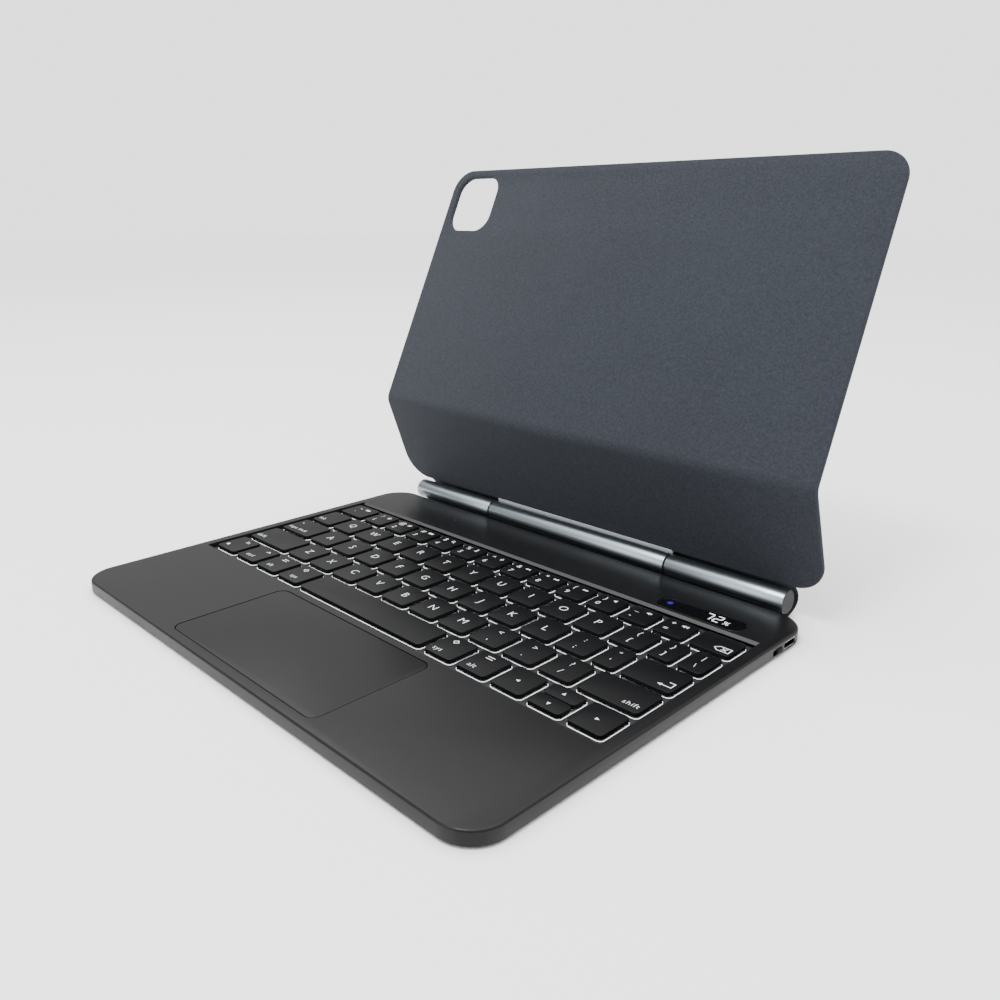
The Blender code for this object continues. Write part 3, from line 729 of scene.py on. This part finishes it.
NUMBER_LEGENDS = (
    ("`", "~", "windows"), ("1", "!", "light"), ("2", "@", "light"), ("3", "#", "windows"),
    ("4", "$", "search"), ("5", "%", "microphone"), ("6", "^", "quiet"), ("7", "&", "back"),
    ("8", "*", "play"), ("9", "(", "next"), ("0", ")", "mute"), ("-", "_", "soft"), ("=", "+", "loud"),
)
ROW_LEGENDS = {
    "upper_letter_keys": (("Q", "W", "E", "R", "T", "Y", "U", "I", "O", "P", "[{", "]}", "\\|"), 125.0),
    "home_letter_keys": (("A", "S", "D", "F", "G", "H", "J", "K", "L", ";:", "'\""), 106.4),
    "lower_letter_keys": (("Z", "X", "C", "V", "B", "N", "M", ",<", ".>", "/?"), 88.2),
}
HOME_BARS = (3, 6)
HOME_BAR_HALF = 1.5
HOME_BAR_Y = 101.4
WORD_LEGENDS = {
    "key_tab": ("tab", -113.6, 121.4), "key_caps": ("caps lock", -109.0, 103.0),
    "key_shift_left": ("shift", -113.0, 84.6), "key_shift_right": ("shift", 112.4, 84.4),
    "key_ctrl": ("ctrl", -93.6, 66.4), "key_alt_left": ("alt", -76.2, 66.4),
    "key_cmd_left": ("sys", -56.8, 66.4), "key_cmd_right": ("sys", 39.0, 65.8),
    "key_alt_right": ("alt", 57.0, 65.8),
}
ARROW_Y = {"left": 69.5, "right": 69.5, "up": 73.7, "down": 65.6}


def row_legends(name, plans):
    """The legends of a whole row of keys."""
    made = []
    top = DECK_TOP
    if name == "number_keys":
        for plan, (low, high, sign) in zip(plans, NUMBER_LEGENDS):
            x = (plan[0] + plan[1]) / 2
            made.append(lettering(low, x - NUMBER_IN, NUMBER_LOW, top, SMALL, SMALL_BOLD))
            made.append(lettering(high, x - NUMBER_IN, NUMBER_HIGH, top, SMALL, SMALL_BOLD))
            made.extend(icon(sign, x + SIGN_OUT, SIGN_Y))
        return made
    legends, y = ROW_LEGENDS[name]
    for plan, legend in zip(plans, legends):
        x = (plan[0] + plan[1]) / 2
        if len(legend) == 1:
            made.append(lettering(legend, x, y, top, LETTER, LETTER_BOLD))
            continue
        made.append(lettering(legend[0], x, y - PAIR_DROP, top, SMALL, SMALL_BOLD))
        made.append(lettering(legend[1], x, y + PAIR_RISE, top, SMALL, SMALL_BOLD))
    return made


def single_legends(name, plan):
    """The legends of one wide or special key; signs keep their places in the case's own X and Y."""
    made = []
    x = (plan[0] + plan[1]) / 2
    if name in WORD_LEGENDS:
        word, word_x, word_y = WORD_LEGENDS[name]
        made.append(lettering(word, word_x, word_y, DECK_TOP, WORD, SMALL_BOLD))
    if name == "key_fn":
        made += [disc(-114.2, 66.6, 0.9), lettering("fn", -108.0, 73.8, DECK_TOP, WORD, SMALL_BOLD)]
    if name == "key_caps":
        made.append(disc(-114.0, 109.6, 0.4))
    if name == "key_ctrl":
        made += strokes(((-90.6, 73.4), (-89.5, 74.6), (-88.4, 73.4)), 0.4)
    if name.startswith("key_alt"):
        made += [bar(x - 2.2, y, x + 0.8, y, 0.38) for y in (73.3, 74.7)]
    if name.startswith("key_cmd"):
        diamond = ((-2.7, 74.0), (-1.5, 75.2), (-0.3, 74.0), (-1.5, 72.8), (-2.7, 74.0))
        made += strokes([(x + u, y) for u, y in diamond], 0.34)
    if name == "key_delete":
        tip = (109.6, 139.3)
        made += strokes((tip, (111.3, 141.0), (116.0, 141.0), (116.0, 137.6), (111.3, 137.6), tip), 0.34)
        made += [bar(112.7, 138.4, 114.5, 140.2, 0.32), bar(112.7, 140.2, 114.5, 138.4, 0.32)]
    if name == "key_return":
        made += strokes(((113.4, 105.2), (115.6, 105.2), (115.6, 102.2), (111.4, 102.2)), 0.36)
        made.append(triangle(111.2, 102.2, 1.1, "left"))
    for toward, y in ARROW_Y.items():
        if name == f"key_{toward}":
            made.append(triangle(x, y, 0.95, toward))
    return made


def make_keys(cells):
    """Keycaps with lit legends, one mesh for each moving body."""
    groups = {}
    for cell in cells:
        groups.setdefault(cell[0], []).append(key_plan(cell))
    for name, plans in groups.items():
        mesh = bmesh.new()
        for plan in plans:
            skin_rings(mesh, slab_rings(plan, KEY_BASE, DECK_TOP, KEY_CORNER, KEY_RIM, 0, 5, 3))
        legends = row_legends(name, plans) if len(plans) > 1 else single_legends(name, plans[0])
        for legend in legends:
            take_in(mesh, legend, 1)
        if name == "home_letter_keys":
            for i in HOME_BARS:
                x = (plans[i][0] + plans[i][1]) / 2
                take_in(mesh, bar(x - HOME_BAR_HALF, HOME_BAR_Y, x + HOME_BAR_HALF, HOME_BAR_Y))
        piece(f"{name}_caps", mesh, (KEY_FINISH, LEGEND_FINISH), f"body_{name}", (name,))


def light_ring_tree():
    """Geometry nodes: a light ring of one width and height round each point's own key size."""
    tree = bpy.data.node_groups.new("key_light_rings", "GeometryNodeTree")
    face = tree.interface
    face.new_socket("Keys", in_out="INPUT", socket_type="NodeSocketGeometry")
    for label, value in (("Corner", KEY_CORNER), ("Width", LIGHT_WIDTH), ("Height", LIGHT_TOP - WEB_TOP)):
        face.new_socket(label, in_out="INPUT", socket_type="NodeSocketFloat").default_value = value
    face.new_socket("Finish", in_out="INPUT", socket_type="NodeSocketMaterial")
    face.new_socket("Rings", in_out="OUTPUT", socket_type="NodeSocketGeometry")

    def step(kind, **inputs):
        """A node with its inputs linked to sockets or set to plain values."""
        node = tree.nodes.new(kind)
        for label, value in inputs.items():
            socket = node.inputs[label.replace("_", " ")]
            if isinstance(value, bpy.types.NodeSocket):
                tree.links.new(value, socket)
            else:
                socket.default_value = value
        return node

    given = step("NodeGroupInput").outputs
    size = step("GeometryNodeInputNamedAttribute", Name="key_size")
    size.data_type = "FLOAT_VECTOR"
    unit = step("GeometryNodeCurvePrimitiveQuadrilateral", Width=1.0, Height=1.0)
    spread = step(
        "GeometryNodeInstanceOnPoints",
        Points=given["Keys"], Instance=unit.outputs["Curve"], Scale=size.outputs["Attribute"],
    )
    real = step("GeometryNodeRealizeInstances", Geometry=spread.outputs["Instances"])
    fillet = step("GeometryNodeFilletCurve", Curve=real.outputs["Geometry"], Radius=given["Corner"])
    fillet.mode = "POLY"
    fillet.inputs["Count"].default_value = 5
    section = step("GeometryNodeCurvePrimitiveQuadrilateral", Width=given["Width"], Height=given["Height"])
    sweep = step(
        "GeometryNodeCurveToMesh", Curve=fillet.outputs["Curve"], Profile_Curve=section.outputs["Curve"]
    )
    solid = step("GeometryNodeRealizeInstances", Geometry=sweep.outputs["Mesh"])
    paint = step("GeometryNodeSetMaterial", Geometry=solid.outputs["Geometry"], Material=given["Finish"])
    tree.links.new(paint.outputs["Geometry"], tree.nodes.new("NodeGroupOutput").inputs["Rings"])
    return tree


def make_key_lights(cells):
    """The lit ring at the foot of each key."""
    away = LIGHT_AWAY + LIGHT_WIDTH / 2
    mesh = bmesh.new()
    size = mesh.verts.layers.float_vector.new("key_size")
    for x0, x1, y0, y1 in footprints(cells):
        vert = mesh.verts.new(((x0 + x1) / 2, (y0 + y1) / 2, (LIGHT_TOP + WEB_TOP) / 2))
        vert[size] = (x1 - x0 + 2 * away, y1 - y0 + 2 * away, 1)
    places = put("key_places", as_data("key_places", mesh))
    modifier = places.modifiers.new("rings", "NODES")
    modifier.node_group = light_ring_tree()
    items = modifier.node_group.interface.items_tree
    sockets = {item.name: item.identifier for item in items if item.in_out == "INPUT"}
    modifier[sockets["Corner"]] = KEY_CORNER + away
    modifier[sockets["Width"]] = LIGHT_WIDTH
    modifier[sockets["Height"]] = LIGHT_TOP - WEB_TOP
    modifier[sockets["Finish"]] = LIGHT_FINISH
    graph = bpy.context.evaluated_depsgraph_get()
    made = bpy.data.meshes.new_from_object(places.evaluated_get(graph))
    bpy.data.objects.remove(places)
    mesh = bmesh.new()
    mesh.from_mesh(made)
    made.materials.clear()
    bmesh.ops.remove_doubles(mesh, verts=mesh.verts, dist=0.001)
    outward(mesh)
    piece("key_light_rings", mesh, (LIGHT_FINISH,), "base")


def make_web(cells):
    """The dark web between the keys, low enough for the lights to stand on it, open under each key."""
    sheet = (-WELL_HALF + 0.1, WELL_HALF - 0.1, WELL_FRONT + 0.1, WELL_REAR + 0.7)
    mesh = slab(sheet, WEB_BASE, WEB_TOP, 0.4, 0, 0, 2)
    openings = bmesh.new()
    away = KEY_CLEARANCE
    for x0, x1, y0, y1 in footprints(cells):
        plan = (x0 - away, x1 + away, y0 - away, y1 + away)
        skin_rings(openings, slab_rings(plan, WEB_BASE - 1, WEB_TOP + 1, KEY_CORNER + away, 0, 0, 5))
    mesh = carved("web", mesh, [openings])
    # The web's lighter paint is painted light, lifting the shade between the keys.
    piece("key_web_sheet", mesh, (WEB_PAINTED_LIGHT_FINISH,), "base", ("key_web",))


# ---------------------------------------------------------------- base


def pill(centre, half, low, high, inset=0.0, rim=0.0, steps=12):
    """A slab with fully round ends, in plan."""
    x, y = centre
    plan = (x - half[0] + inset, x + half[0] - inset, y - half[1] + inset, y + half[1] - inset)
    return slab(plan, low, high, half[1] - inset - 0.02, rim, 0, steps)


def side_slot(centre, half, start, end, radius, steps=6):
    """A rounded bar along X, centred on a place in the right-hand wall."""
    y, z = centre
    outline = rounded(y - half[0], y + half[0], z - half[1], z + half[1], radius, steps)
    return across(start, end, outline)


def make_deck():
    """The top case, with its well, trackpad window, display recess and side openings."""
    plan = (-BASE_HALF, BASE_HALF, 0, BASE_DEPTH)
    under = DECK_TOP - DECK_PLATE
    outer = slab(plan, BASE_FOOT, DECK_TOP, BASE_CORNER, RIM, FOOT_RIM, 20)
    hollow = (-BASE_HALF + WALL, BASE_HALF - WALL, WALL, BASE_DEPTH - WALL)
    pad = (-PAD_HALF - PAD_GAP, PAD_HALF + PAD_GAP, PAD_FRONT - PAD_GAP, PAD_REAR + PAD_GAP)
    strip_low = (-STRIP_HALF - 0.1, WELL_REAR - 2, under - 1)
    cutters = [
        slab(hollow, -2, under, BASE_CORNER - WALL, 0, 0, 12),
        slab((-WELL_HALF, WELL_HALF, WELL_FRONT, WELL_REAR), under - 1, DECK_TOP + 1, 0.6, 0, 0, 3),
        box(strip_low, (STRIP_HALF + 0.1, STRIP_REAR + 0.05, DECK_TOP + 1)),
        slab(pad, under - 1, DECK_TOP + 1, PAD_CORNER + PAD_GAP, 0, 0, 8),
        pill(DISPLAY, DISPLAY_HALF, under - 1, DECK_TOP + 1),
        side_slot(PORT, PORT_HALF, BASE_HALF - 8, BASE_HALF + 4, PORT_HALF[1] - 0.05, 8),
        side_slot(SWITCH, SWITCH_HALF, BASE_HALF - 3, BASE_HALF + 4, 0.6),
        *(box((x, BASE_DEPTH - 4, 1.6), (x + MOUNT_SLOT, BASE_DEPTH + 4, 2.8)) for x in (-104, 62)),
    ]
    mesh = carved("deck", outer, cutters)
    mesh.normal_update()
    for face in mesh.faces:
        middle = face.calc_center_median()
        outside = abs(middle.x) > BASE_HALF - WALL or not WALL < middle.y < BASE_DEPTH - WALL
        if outside and abs(face.normal.z) < 0.35 and middle.z < DECK_TOP - 0.5:
            face.material_index = 1
    piece("deck_case", mesh, (DECK_FINISH, WALL_FINISH), "base", ("base_top_case",), 28)


def make_skirt():
    """The wall that carries the well's edge down to the web, and the strip along its rear."""
    under = DECK_TOP - DECK_PLATE
    skirt_plan = (-WELL_HALF - SKIRT, WELL_HALF + SKIRT, WELL_FRONT - SKIRT, STRIP_REAR + SKIRT)
    well_plan = (-WELL_HALF, WELL_HALF, WELL_FRONT, STRIP_REAR + 0.05)
    skirt = slab(skirt_plan, WEB_BASE + 0.2, under + 0.03, 0.6 + SKIRT, 0, 0, 3)
    skirt = carved("skirt", skirt, [slab(well_plan, WEB_BASE - 1, DECK_TOP, 0.6, 0, 0, 3)])
    piece("well_skirt", skirt, (DECK_FINISH,), "base")
    # The strip's light tone is a painted highlight on its sloping face, not a paint of its own.
    strip = [(STRIP_FRONT, STRIP_FOOT), (STRIP_REAR, DECK_TOP - 0.03), (STRIP_REAR, STRIP_FOOT)]
    mesh = across(-STRIP_HALF, STRIP_HALF, strip)
    outward(mesh)
    piece("well_rear_strip", mesh, (STRIP_HIGHLIGHT_FINISH,), "base")


def make_trackpad():
    """The clicking plate, its rim broken by a fine chamfer."""
    plan = (-PAD_HALF, PAD_HALF, PAD_FRONT, PAD_REAR)
    mesh = slab(plan, DECK_TOP - 1.05, DECK_TOP - 0.05, PAD_CORNER, 0.18, 0, 8)
    piece("trackpad_surface", mesh, (PAD_FINISH,), "trackpad", ("trackpad_plate",))


SEGMENTS = {
    "a": (-0.7, 1, 0.7, 1), "b": (1, 0.8, 1, 0.2), "c": (1, -0.2, 1, -0.8), "d": (-0.7, -1, 0.7, -1),
    "e": (-1, -0.2, -1, -0.8), "f": (-1, 0.8, -1, 0.2), "g": (-0.7, 0, 0.7, 0),
}


def make_display():
    """The gloss window, its number and the blue light."""
    mesh = pill(DISPLAY, DISPLAY_HALF, DECK_TOP - 0.7, DECK_TOP - 0.03, 0.12, 0.12, 16)
    piece("display_glass", mesh, (GLOSS_FINISH,), "base", ("display_window",))
    marks = bmesh.new()
    wide, tall = DIGIT_HALF
    for x, segments in DIGITS:
        for segment in segments:
            x0, y0, x1, y1 = SEGMENTS[segment]
            start = (x + wide * x0, DIGIT_Y + tall * y0)
            take_in(marks, bar(*start, x + wide * x1, DIGIT_Y + tall * y1, DIGIT_STROKE))
    take_in(marks, lettering("%", *PER_CENT, DECK_TOP, SMALL))
    piece("display_number", marks, (LEGEND_FINISH,), "base")
    piece("display_light", disc(*STATUS_LIGHT, 1.25, 28), (BLUE_FINISH,), "base")


def make_port():
    """The charging port's drawn shell with its tongue and contacts."""
    y, z = PORT
    wide, tall = PORT_HALF
    wall = BASE_HALF
    outer = side_slot(PORT, (wide - 0.2, tall - 0.2), wall - PORT_REACH, wall - 0.25, tall - 0.25, 8)
    bore = side_slot(PORT, (wide - 0.5, tall - 0.5), wall - PORT_BORE_DEPTH, wall + 1, tall - 0.55, 8)
    mesh = carved("port", outer, [bore])
    piece("port_shell", mesh, (PORT_FINISH,), "base", ("charging_port_shell",))
    tongue = side_slot(PORT, TONGUE_HALF, wall - 6.5, wall - 1.5, 0.2, 3)
    for i in range(8):
        at = y - 2.45 + CONTACT_PITCH * i
        take_in(tongue, box((wall - 5.5, at - 0.13, z + 0.3), (wall - 2.0, at + 0.13, z + 0.38)), 1)
    piece("port_tongue", tongue, (DARK_FINISH, STEEL_FINISH), "base")


def make_switch():
    """The power switch's ribbed knob."""
    y = SWITCH[0] + SWITCH_REST
    z = SWITCH[1]
    mesh = side_slot((y, z), KNOB_HALF, BASE_HALF - 3.5, BASE_HALF + 0.45, 0.4, 4)
    for i in range(4):
        at = y - 1.05 + RIB_PITCH * i
        take_in(mesh, box((BASE_HALF + 0.2, at - 0.14, z - 0.7), (BASE_HALF + 0.7, at + 0.14, z + 0.7)))
    piece("switch_knob", mesh, (DARK_FINISH,), "power_switch", ("power_switch_knob",))


# ---------------------------------------------------------------- hinge


def tube_profile(start, end):
    """The closed profile of a barrel tube with broken edges."""
    edge = BARREL_EDGE
    low, high = BARREL_RADIUS - edge, BARREL_RADIUS - edge * 0.3
    return [
        (start, BARREL_BORE), (start, low), (start + edge * 0.4, high), (start + edge, BARREL_RADIUS),
        (end - edge, BARREL_RADIUS), (end - edge * 0.4, high), (end, low), (end, BARREL_BORE),
    ]


def make_barrel():
    """Three tubes in line, with an end cap each side."""
    seam = BARREL_SEAM
    outer = BARREL_HALF - CAP_THICK - 0.02
    for name, start, end, body in (
        ("barrel_left", -outer, -seam - SEAM_HALF, "base"),
        ("barrel_centre", -seam + SEAM_HALF, seam - SEAM_HALF, "lower_lid"),
        ("barrel_right", seam + SEAM_HALF, outer, "base"),
    ):
        tube = turned(tube_profile(start, end))
        piece(f"{name}_tube", tube, (BARREL_FINISH,), body, (name,))
    radius = BARREL_RADIUS - 0.05
    for side, word in ((-1, "left"), (1, "right")):
        at = side * seam
        low, high = WASHER_RADII
        ring = [(at - 0.3, low), (at - 0.3, high), (at + 0.3, high), (at + 0.3, low)]
        piece(f"seam_washer_{word}", turned(ring, sides=48), (DARK_FINISH,), "base")
        face = side * BARREL_HALF
        inner = side * (BARREL_HALF - CAP_THICK)
        stub = side * (BARREL_HALF - 4)
        profile = [
            (face, 0.01), (face, radius - BARREL_EDGE), (face - side * BARREL_EDGE, radius),
            (inner, radius), (inner, BARREL_BORE - 0.1), (stub, BARREL_BORE - 0.1), (stub, 0.01),
        ]
        mesh = turned(profile)
        mesh.normal_update()
        for rim_face in mesh.faces:
            if abs(rim_face.normal.x) < 0.5:
                rim_face.material_index = 1
        finishes = (CAP_FINISH, BARREL_FINISH)
        piece(f"barrel_{word}_disc", mesh, finishes, "base", (f"barrel_cap_{word}",))


def make_spine():
    """The flexible skin behind the barrel, bending from the base to the lid."""
    outer = [Vector(point) for point in SPINE_SECTION]
    fine = []
    for i in range(len(outer) - 1):
        before = outer[max(i - 1, 0)]
        after = outer[min(i + 2, len(outer) - 1)]
        for k in range(4):
            t = k / 4
            a = outer[i]
            b = outer[i + 1]
            bend_in = (b - before) * 0.5
            bend_out = (after - a) * 0.5
            h = 2 * t**3 - 3 * t**2 + 1
            bends = bend_in * (t**3 - 2 * t**2 + t) + bend_out * (t**3 - t**2)
            fine.append(a * h + b * (1 - h) + bends)
    fine.append(outer[-1])
    inner = []
    for i, point in enumerate(fine):
        run = (fine[min(i + 1, len(fine) - 1)] - fine[max(i - 1, 0)]).normalized()
        inner.append(point + SPINE_THICK * Vector((-run.y, run.x)))
    mesh = across(-SPINE_HALF, SPINE_HALF, [tuple(p) for p in fine + inner[::-1]])
    outward(mesh)
    obj = piece("spine_cover", mesh, (SKIN_FINISH,), None, ("spine_skin",))
    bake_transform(obj)


# ---------------------------------------------------------------- lid


def lid_place(v, depth):
    """Y and Z of a point on the lid, from its length along it and its depth behind the inner face."""
    low = Vector((math.cos(LOWER_LEAN), math.sin(LOWER_LEAN)))
    high = Vector((math.cos(UPPER_LEAN), math.sin(UPPER_LEAN)))
    back_low = Vector((low.y, -low.x))
    foot = Vector(BARREL) + low * LID_START + back_low * LID_DROP
    crease = foot + low * LOWER_LENGTH
    past = v - LOWER_LENGTH
    if past <= -CREASE_REACH:
        return foot + low * v + back_low * depth
    if past >= CREASE_REACH:
        return crease + high * past + Vector((high.y, -high.x)) * depth
    fold = LOWER_LEAN - UPPER_LEAN
    radius = CREASE_REACH / math.tan(fold / 2)
    share = (past + CREASE_REACH) / (2 * CREASE_REACH)
    lean = LOWER_LEAN - fold * share
    centre = crease - low * CREASE_REACH + back_low * radius
    out = Vector((-math.sin(lean), math.cos(lean)))
    return centre + out * (radius - depth)


def lid_layer(depth_from, depth_to, rim_at):
    """One layer of the lid, flat in (x, length, depth), then bent at the crease.

    rim_at is the depth whose edge is rounded.
    """
    length = LOWER_LENGTH + UPPER_LENGTH
    outline = []
    for x, y, sx, sy, radius, turn in (
        (LID_HALF, 0, 1, -1, LOWER_CORNER, -90), (LID_HALF, length, 1, 1, UPPER_CORNER, 0),
        (-LID_HALF, length, -1, 1, UPPER_CORNER, 90), (-LID_HALF, 0, -1, -1, LOWER_CORNER, 180),
    ):
        for i in range(17):
            a = math.radians(turn + 90 * i / 16)
            outline.append((x - sx * radius + radius * math.cos(a), y - sy * radius + radius * math.sin(a)))
    mesh = bmesh.new()
    skin_rings(mesh, [[(x, y, z) for x, y in outline] for z in (depth_from, depth_to)])
    x0, x1, y0, y1 = CAMERA_HOLE
    plan = (x0, x1, y0 + LOWER_LENGTH, y1 + LOWER_LENGTH)
    mesh = carved("lid_layer", mesh, [slab(plan, depth_from - 2, depth_to + 2, CAMERA_CORNER, 0, 0, 12)])
    edges = [
        e for e in mesh.edges
        if all(abs(v.co.z - rim_at) < 1e-4 for v in e.verts)
        and len({round(f.normal.z, 2) for f in e.link_faces}) > 1
    ]
    bmesh.ops.bevel(mesh, geom=edges, offset=LID_RIM, segments=4, affect="EDGES", profile=0.5)
    cuts = [LOWER_LENGTH - CREASE_REACH + CREASE_REACH * i / 6 for i in range(13)]
    cuts += [12.0 * i for i in range(1, 16)]
    for cut in cuts:
        bmesh.ops.bisect_plane(
            mesh, geom=[*mesh.verts, *mesh.edges, *mesh.faces], plane_co=(0, cut, 0), plane_no=(0, 1, 0)
        )
    outward(mesh)
    for vert in mesh.verts:
        vert.co.yz = lid_place(vert.co.y, vert.co.z)
    return mesh


def make_lid():
    """The inner fabric and the outer skin, each thick enough to stand for its half of the core."""
    fabric = lid_layer(0, LID_SPLIT, 0)
    skin = lid_layer(LID_SPLIT + 0.05, LID_THICK, LID_THICK)
    fabric_nodes = ("lower_inner_fabric", "upper_inner_fabric")
    skin_nodes = ("lower_outer_skin", "upper_outer_skin", "lower_core", "upper_core")
    for name, mesh, finish, slot, replaced in (
        ("lid_inner_lining", fabric, FABRIC_FINISH, "lid_fabric", fabric_nodes),
        ("lid_outer_cover", skin, SKIN_FINISH, "outer_skin", skin_nodes),
    ):
        obj = piece(name, mesh, (finish,), None, replaced, 30)
        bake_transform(obj)


def make_bracket():
    """The folded metal strip that clamps the lid's lower edge to the centre tube."""
    section = [(-1.0, 1.9), (-1.0, -0.3), (0.8, -0.3), (0.8, -0.04), (-0.25, -0.04), (-0.25, 1.9)]
    outline = [tuple(lid_place(v, depth)) for v, depth in section]
    mesh = across(-BARREL_SEAM + 0.5, BARREL_SEAM - 0.5, outline)
    outward(mesh)
    piece("lid_clamp_strip", mesh, (BRACKET_FINISH,), "lower_lid", ("lid_bracket",))


# ---------------------------------------------------------------- carried over


KEPT = (
    (DARK_FINISH, ("base_floor_plate", "display_module", "hinge_mount_left", "hinge_mount_right")),
    (SKIN_FINISH, ("bottom_skin",)),
    (GUIDE_FINISH, ("backlight_guide",)),
    (BLUE_FINISH, ("status_led",)),
    (CELL_FINISH, ("battery_left", "battery_right")),
    (BOARD_FINISH, ("key_membrane", "main_board", "trackpad_board")),
    (STEEL_FINISH, (
        "keyboard_support_plate", "trackpad_click_switch", "friction_unit_left", "friction_unit_right",
        "hinge_shaft_left", "hinge_shaft_right", "magnet_lower", "magnet_upper",
    )),
)


def finish_kept_nodes():
    """Give each carried-over CAD node its material."""
    for finish, names in KEPT:
        for name in names:
            for slot in bpy.data.objects[name].material_slots:
                slot.material = finish


# ---------------------------------------------------------------- studio


CAMERA = (266.910, -135.107, 160.149)
CAMERA_TURN = 0.799
CAMERA_DOWN = 0.256
CAMERA_ROLL = 0.003
CAMERA_LENS = 32.572
CAMERA_SHIFT = (0.0220, -0.0486)
FLOOR_REACH = 6.0

# The room's strength grows with height between these two, as the object sees it; the camera sees it plain
ROOM_HEIGHTS = (0.35, 0.92)
ROOM_STRENGTHS = (0.72, 3.7)
ROOM_SEEN = 2.2


def make_camera():
    """The camera, looking down from the front right."""
    data = bpy.data.cameras.new("camera")
    data.sensor_width = 36
    data.lens = CAMERA_LENS
    data.shift_x, data.shift_y = CAMERA_SHIFT
    data.clip_start = 0.01
    data.clip_end = 20
    camera = put("camera", data)
    turn = CAMERA_TURN
    tip = CAMERA_DOWN
    ahead = Vector((-math.sin(turn) * math.cos(tip), math.cos(turn) * math.cos(tip), -math.sin(tip)))
    right = ahead.cross(Vector((0, 0, 1))).normalized()
    down = ahead.cross(right)
    roll = CAMERA_ROLL
    across_view = math.cos(roll) * right + math.sin(roll) * down
    down_view = -math.sin(roll) * right + math.cos(roll) * down
    axes = Matrix((across_view, -down_view, -ahead)).transposed().to_4x4()
    place = Vector((CAMERA[0], CAMERA[1] - FRONT_TO_ORIGIN, CAMERA[2])) / 1000
    camera.matrix_world = Matrix.Translation(place) @ axes
    bpy.context.scene.camera = camera


def area_light(name, place, target, size, power):
    """A soft square light at a place, turned to a target, in metres."""
    data = bpy.data.lights.new(name, "AREA")
    data.size = size
    data.energy = power
    light = put(name, data)
    light.location = place
    light.rotation_euler = (Vector(target) - Vector(place)).to_track_quat("-Z", "Y").to_euler()


def make_studio():
    """A pale floor, soft lights, and a room that is brighter overhead but looks plain to the camera."""
    world = bpy.data.worlds.new("studio")
    world.use_nodes = True
    tree = world.node_tree
    sky = tree.nodes["Background"]
    sky.inputs["Color"].default_value = (1, 1, 1, 1)
    turn = tree.nodes.new("ShaderNodeSeparateXYZ")
    tree.links.new(tree.nodes.new("ShaderNodeTexCoord").outputs["Generated"], turn.inputs[0])
    height = remap(tree, turn.outputs["Z"], *ROOM_HEIGHTS, *ROOM_STRENGTHS)
    seen = tree.nodes.new("ShaderNodeLightPath").outputs["Is Camera Ray"]
    lit = sum_of(tree, "MULTIPLY", height, sum_of(tree, "SUBTRACT", 1.0, seen))
    shown = sum_of(tree, "MULTIPLY", seen, ROOM_SEEN)
    tree.links.new(sum_of(tree, "ADD", lit, shown), sky.inputs["Strength"])
    bpy.context.scene.world = world
    mesh = bmesh.new()
    corners = ((-1, -1), (1, -1), (1, 1), (-1, 1))
    mesh.faces.new([mesh.verts.new((FLOOR_REACH * x, FLOOR_REACH * y, -0.0001)) for x, y in corners])
    floor = put("floor", as_data("floor", mesh))
    pale = moulded("pale_floor", (0.88, 0.88, 0.88), 0.9, grain=9000.0, relief=0.0, spread=0.01, gloss=0.0)
    floor.data.materials.append(pale)
    area_light("overhead", (0.1, 0.1, 1.5), (0, 0.05, 0), 1.2, 6)
    area_light("rear_left", (-1.1, 0.35, 1.3), (0, 0.05, 0), 0.6, 4)
    area_light("front_strip", (0.1, -0.5, 1.1), (0, 0.1, 0.02), 0.25, 9)
    area_light("front_low", (-0.3, -1.5, 0.3), (0, 0.1, 0.05), 1.0, 8)


def main():
    """Every piece, then the camera and the room."""
    cells = key_cells()
    make_deck()
    make_skirt()
    make_web(cells)
    make_key_lights(cells)
    make_keys(cells)
    make_trackpad()
    make_display()
    make_port()
    make_switch()
    make_barrel()
    make_lid()
    make_bracket()
    make_spine()
    finish_kept_nodes()
    make_camera()
    make_studio()


main()
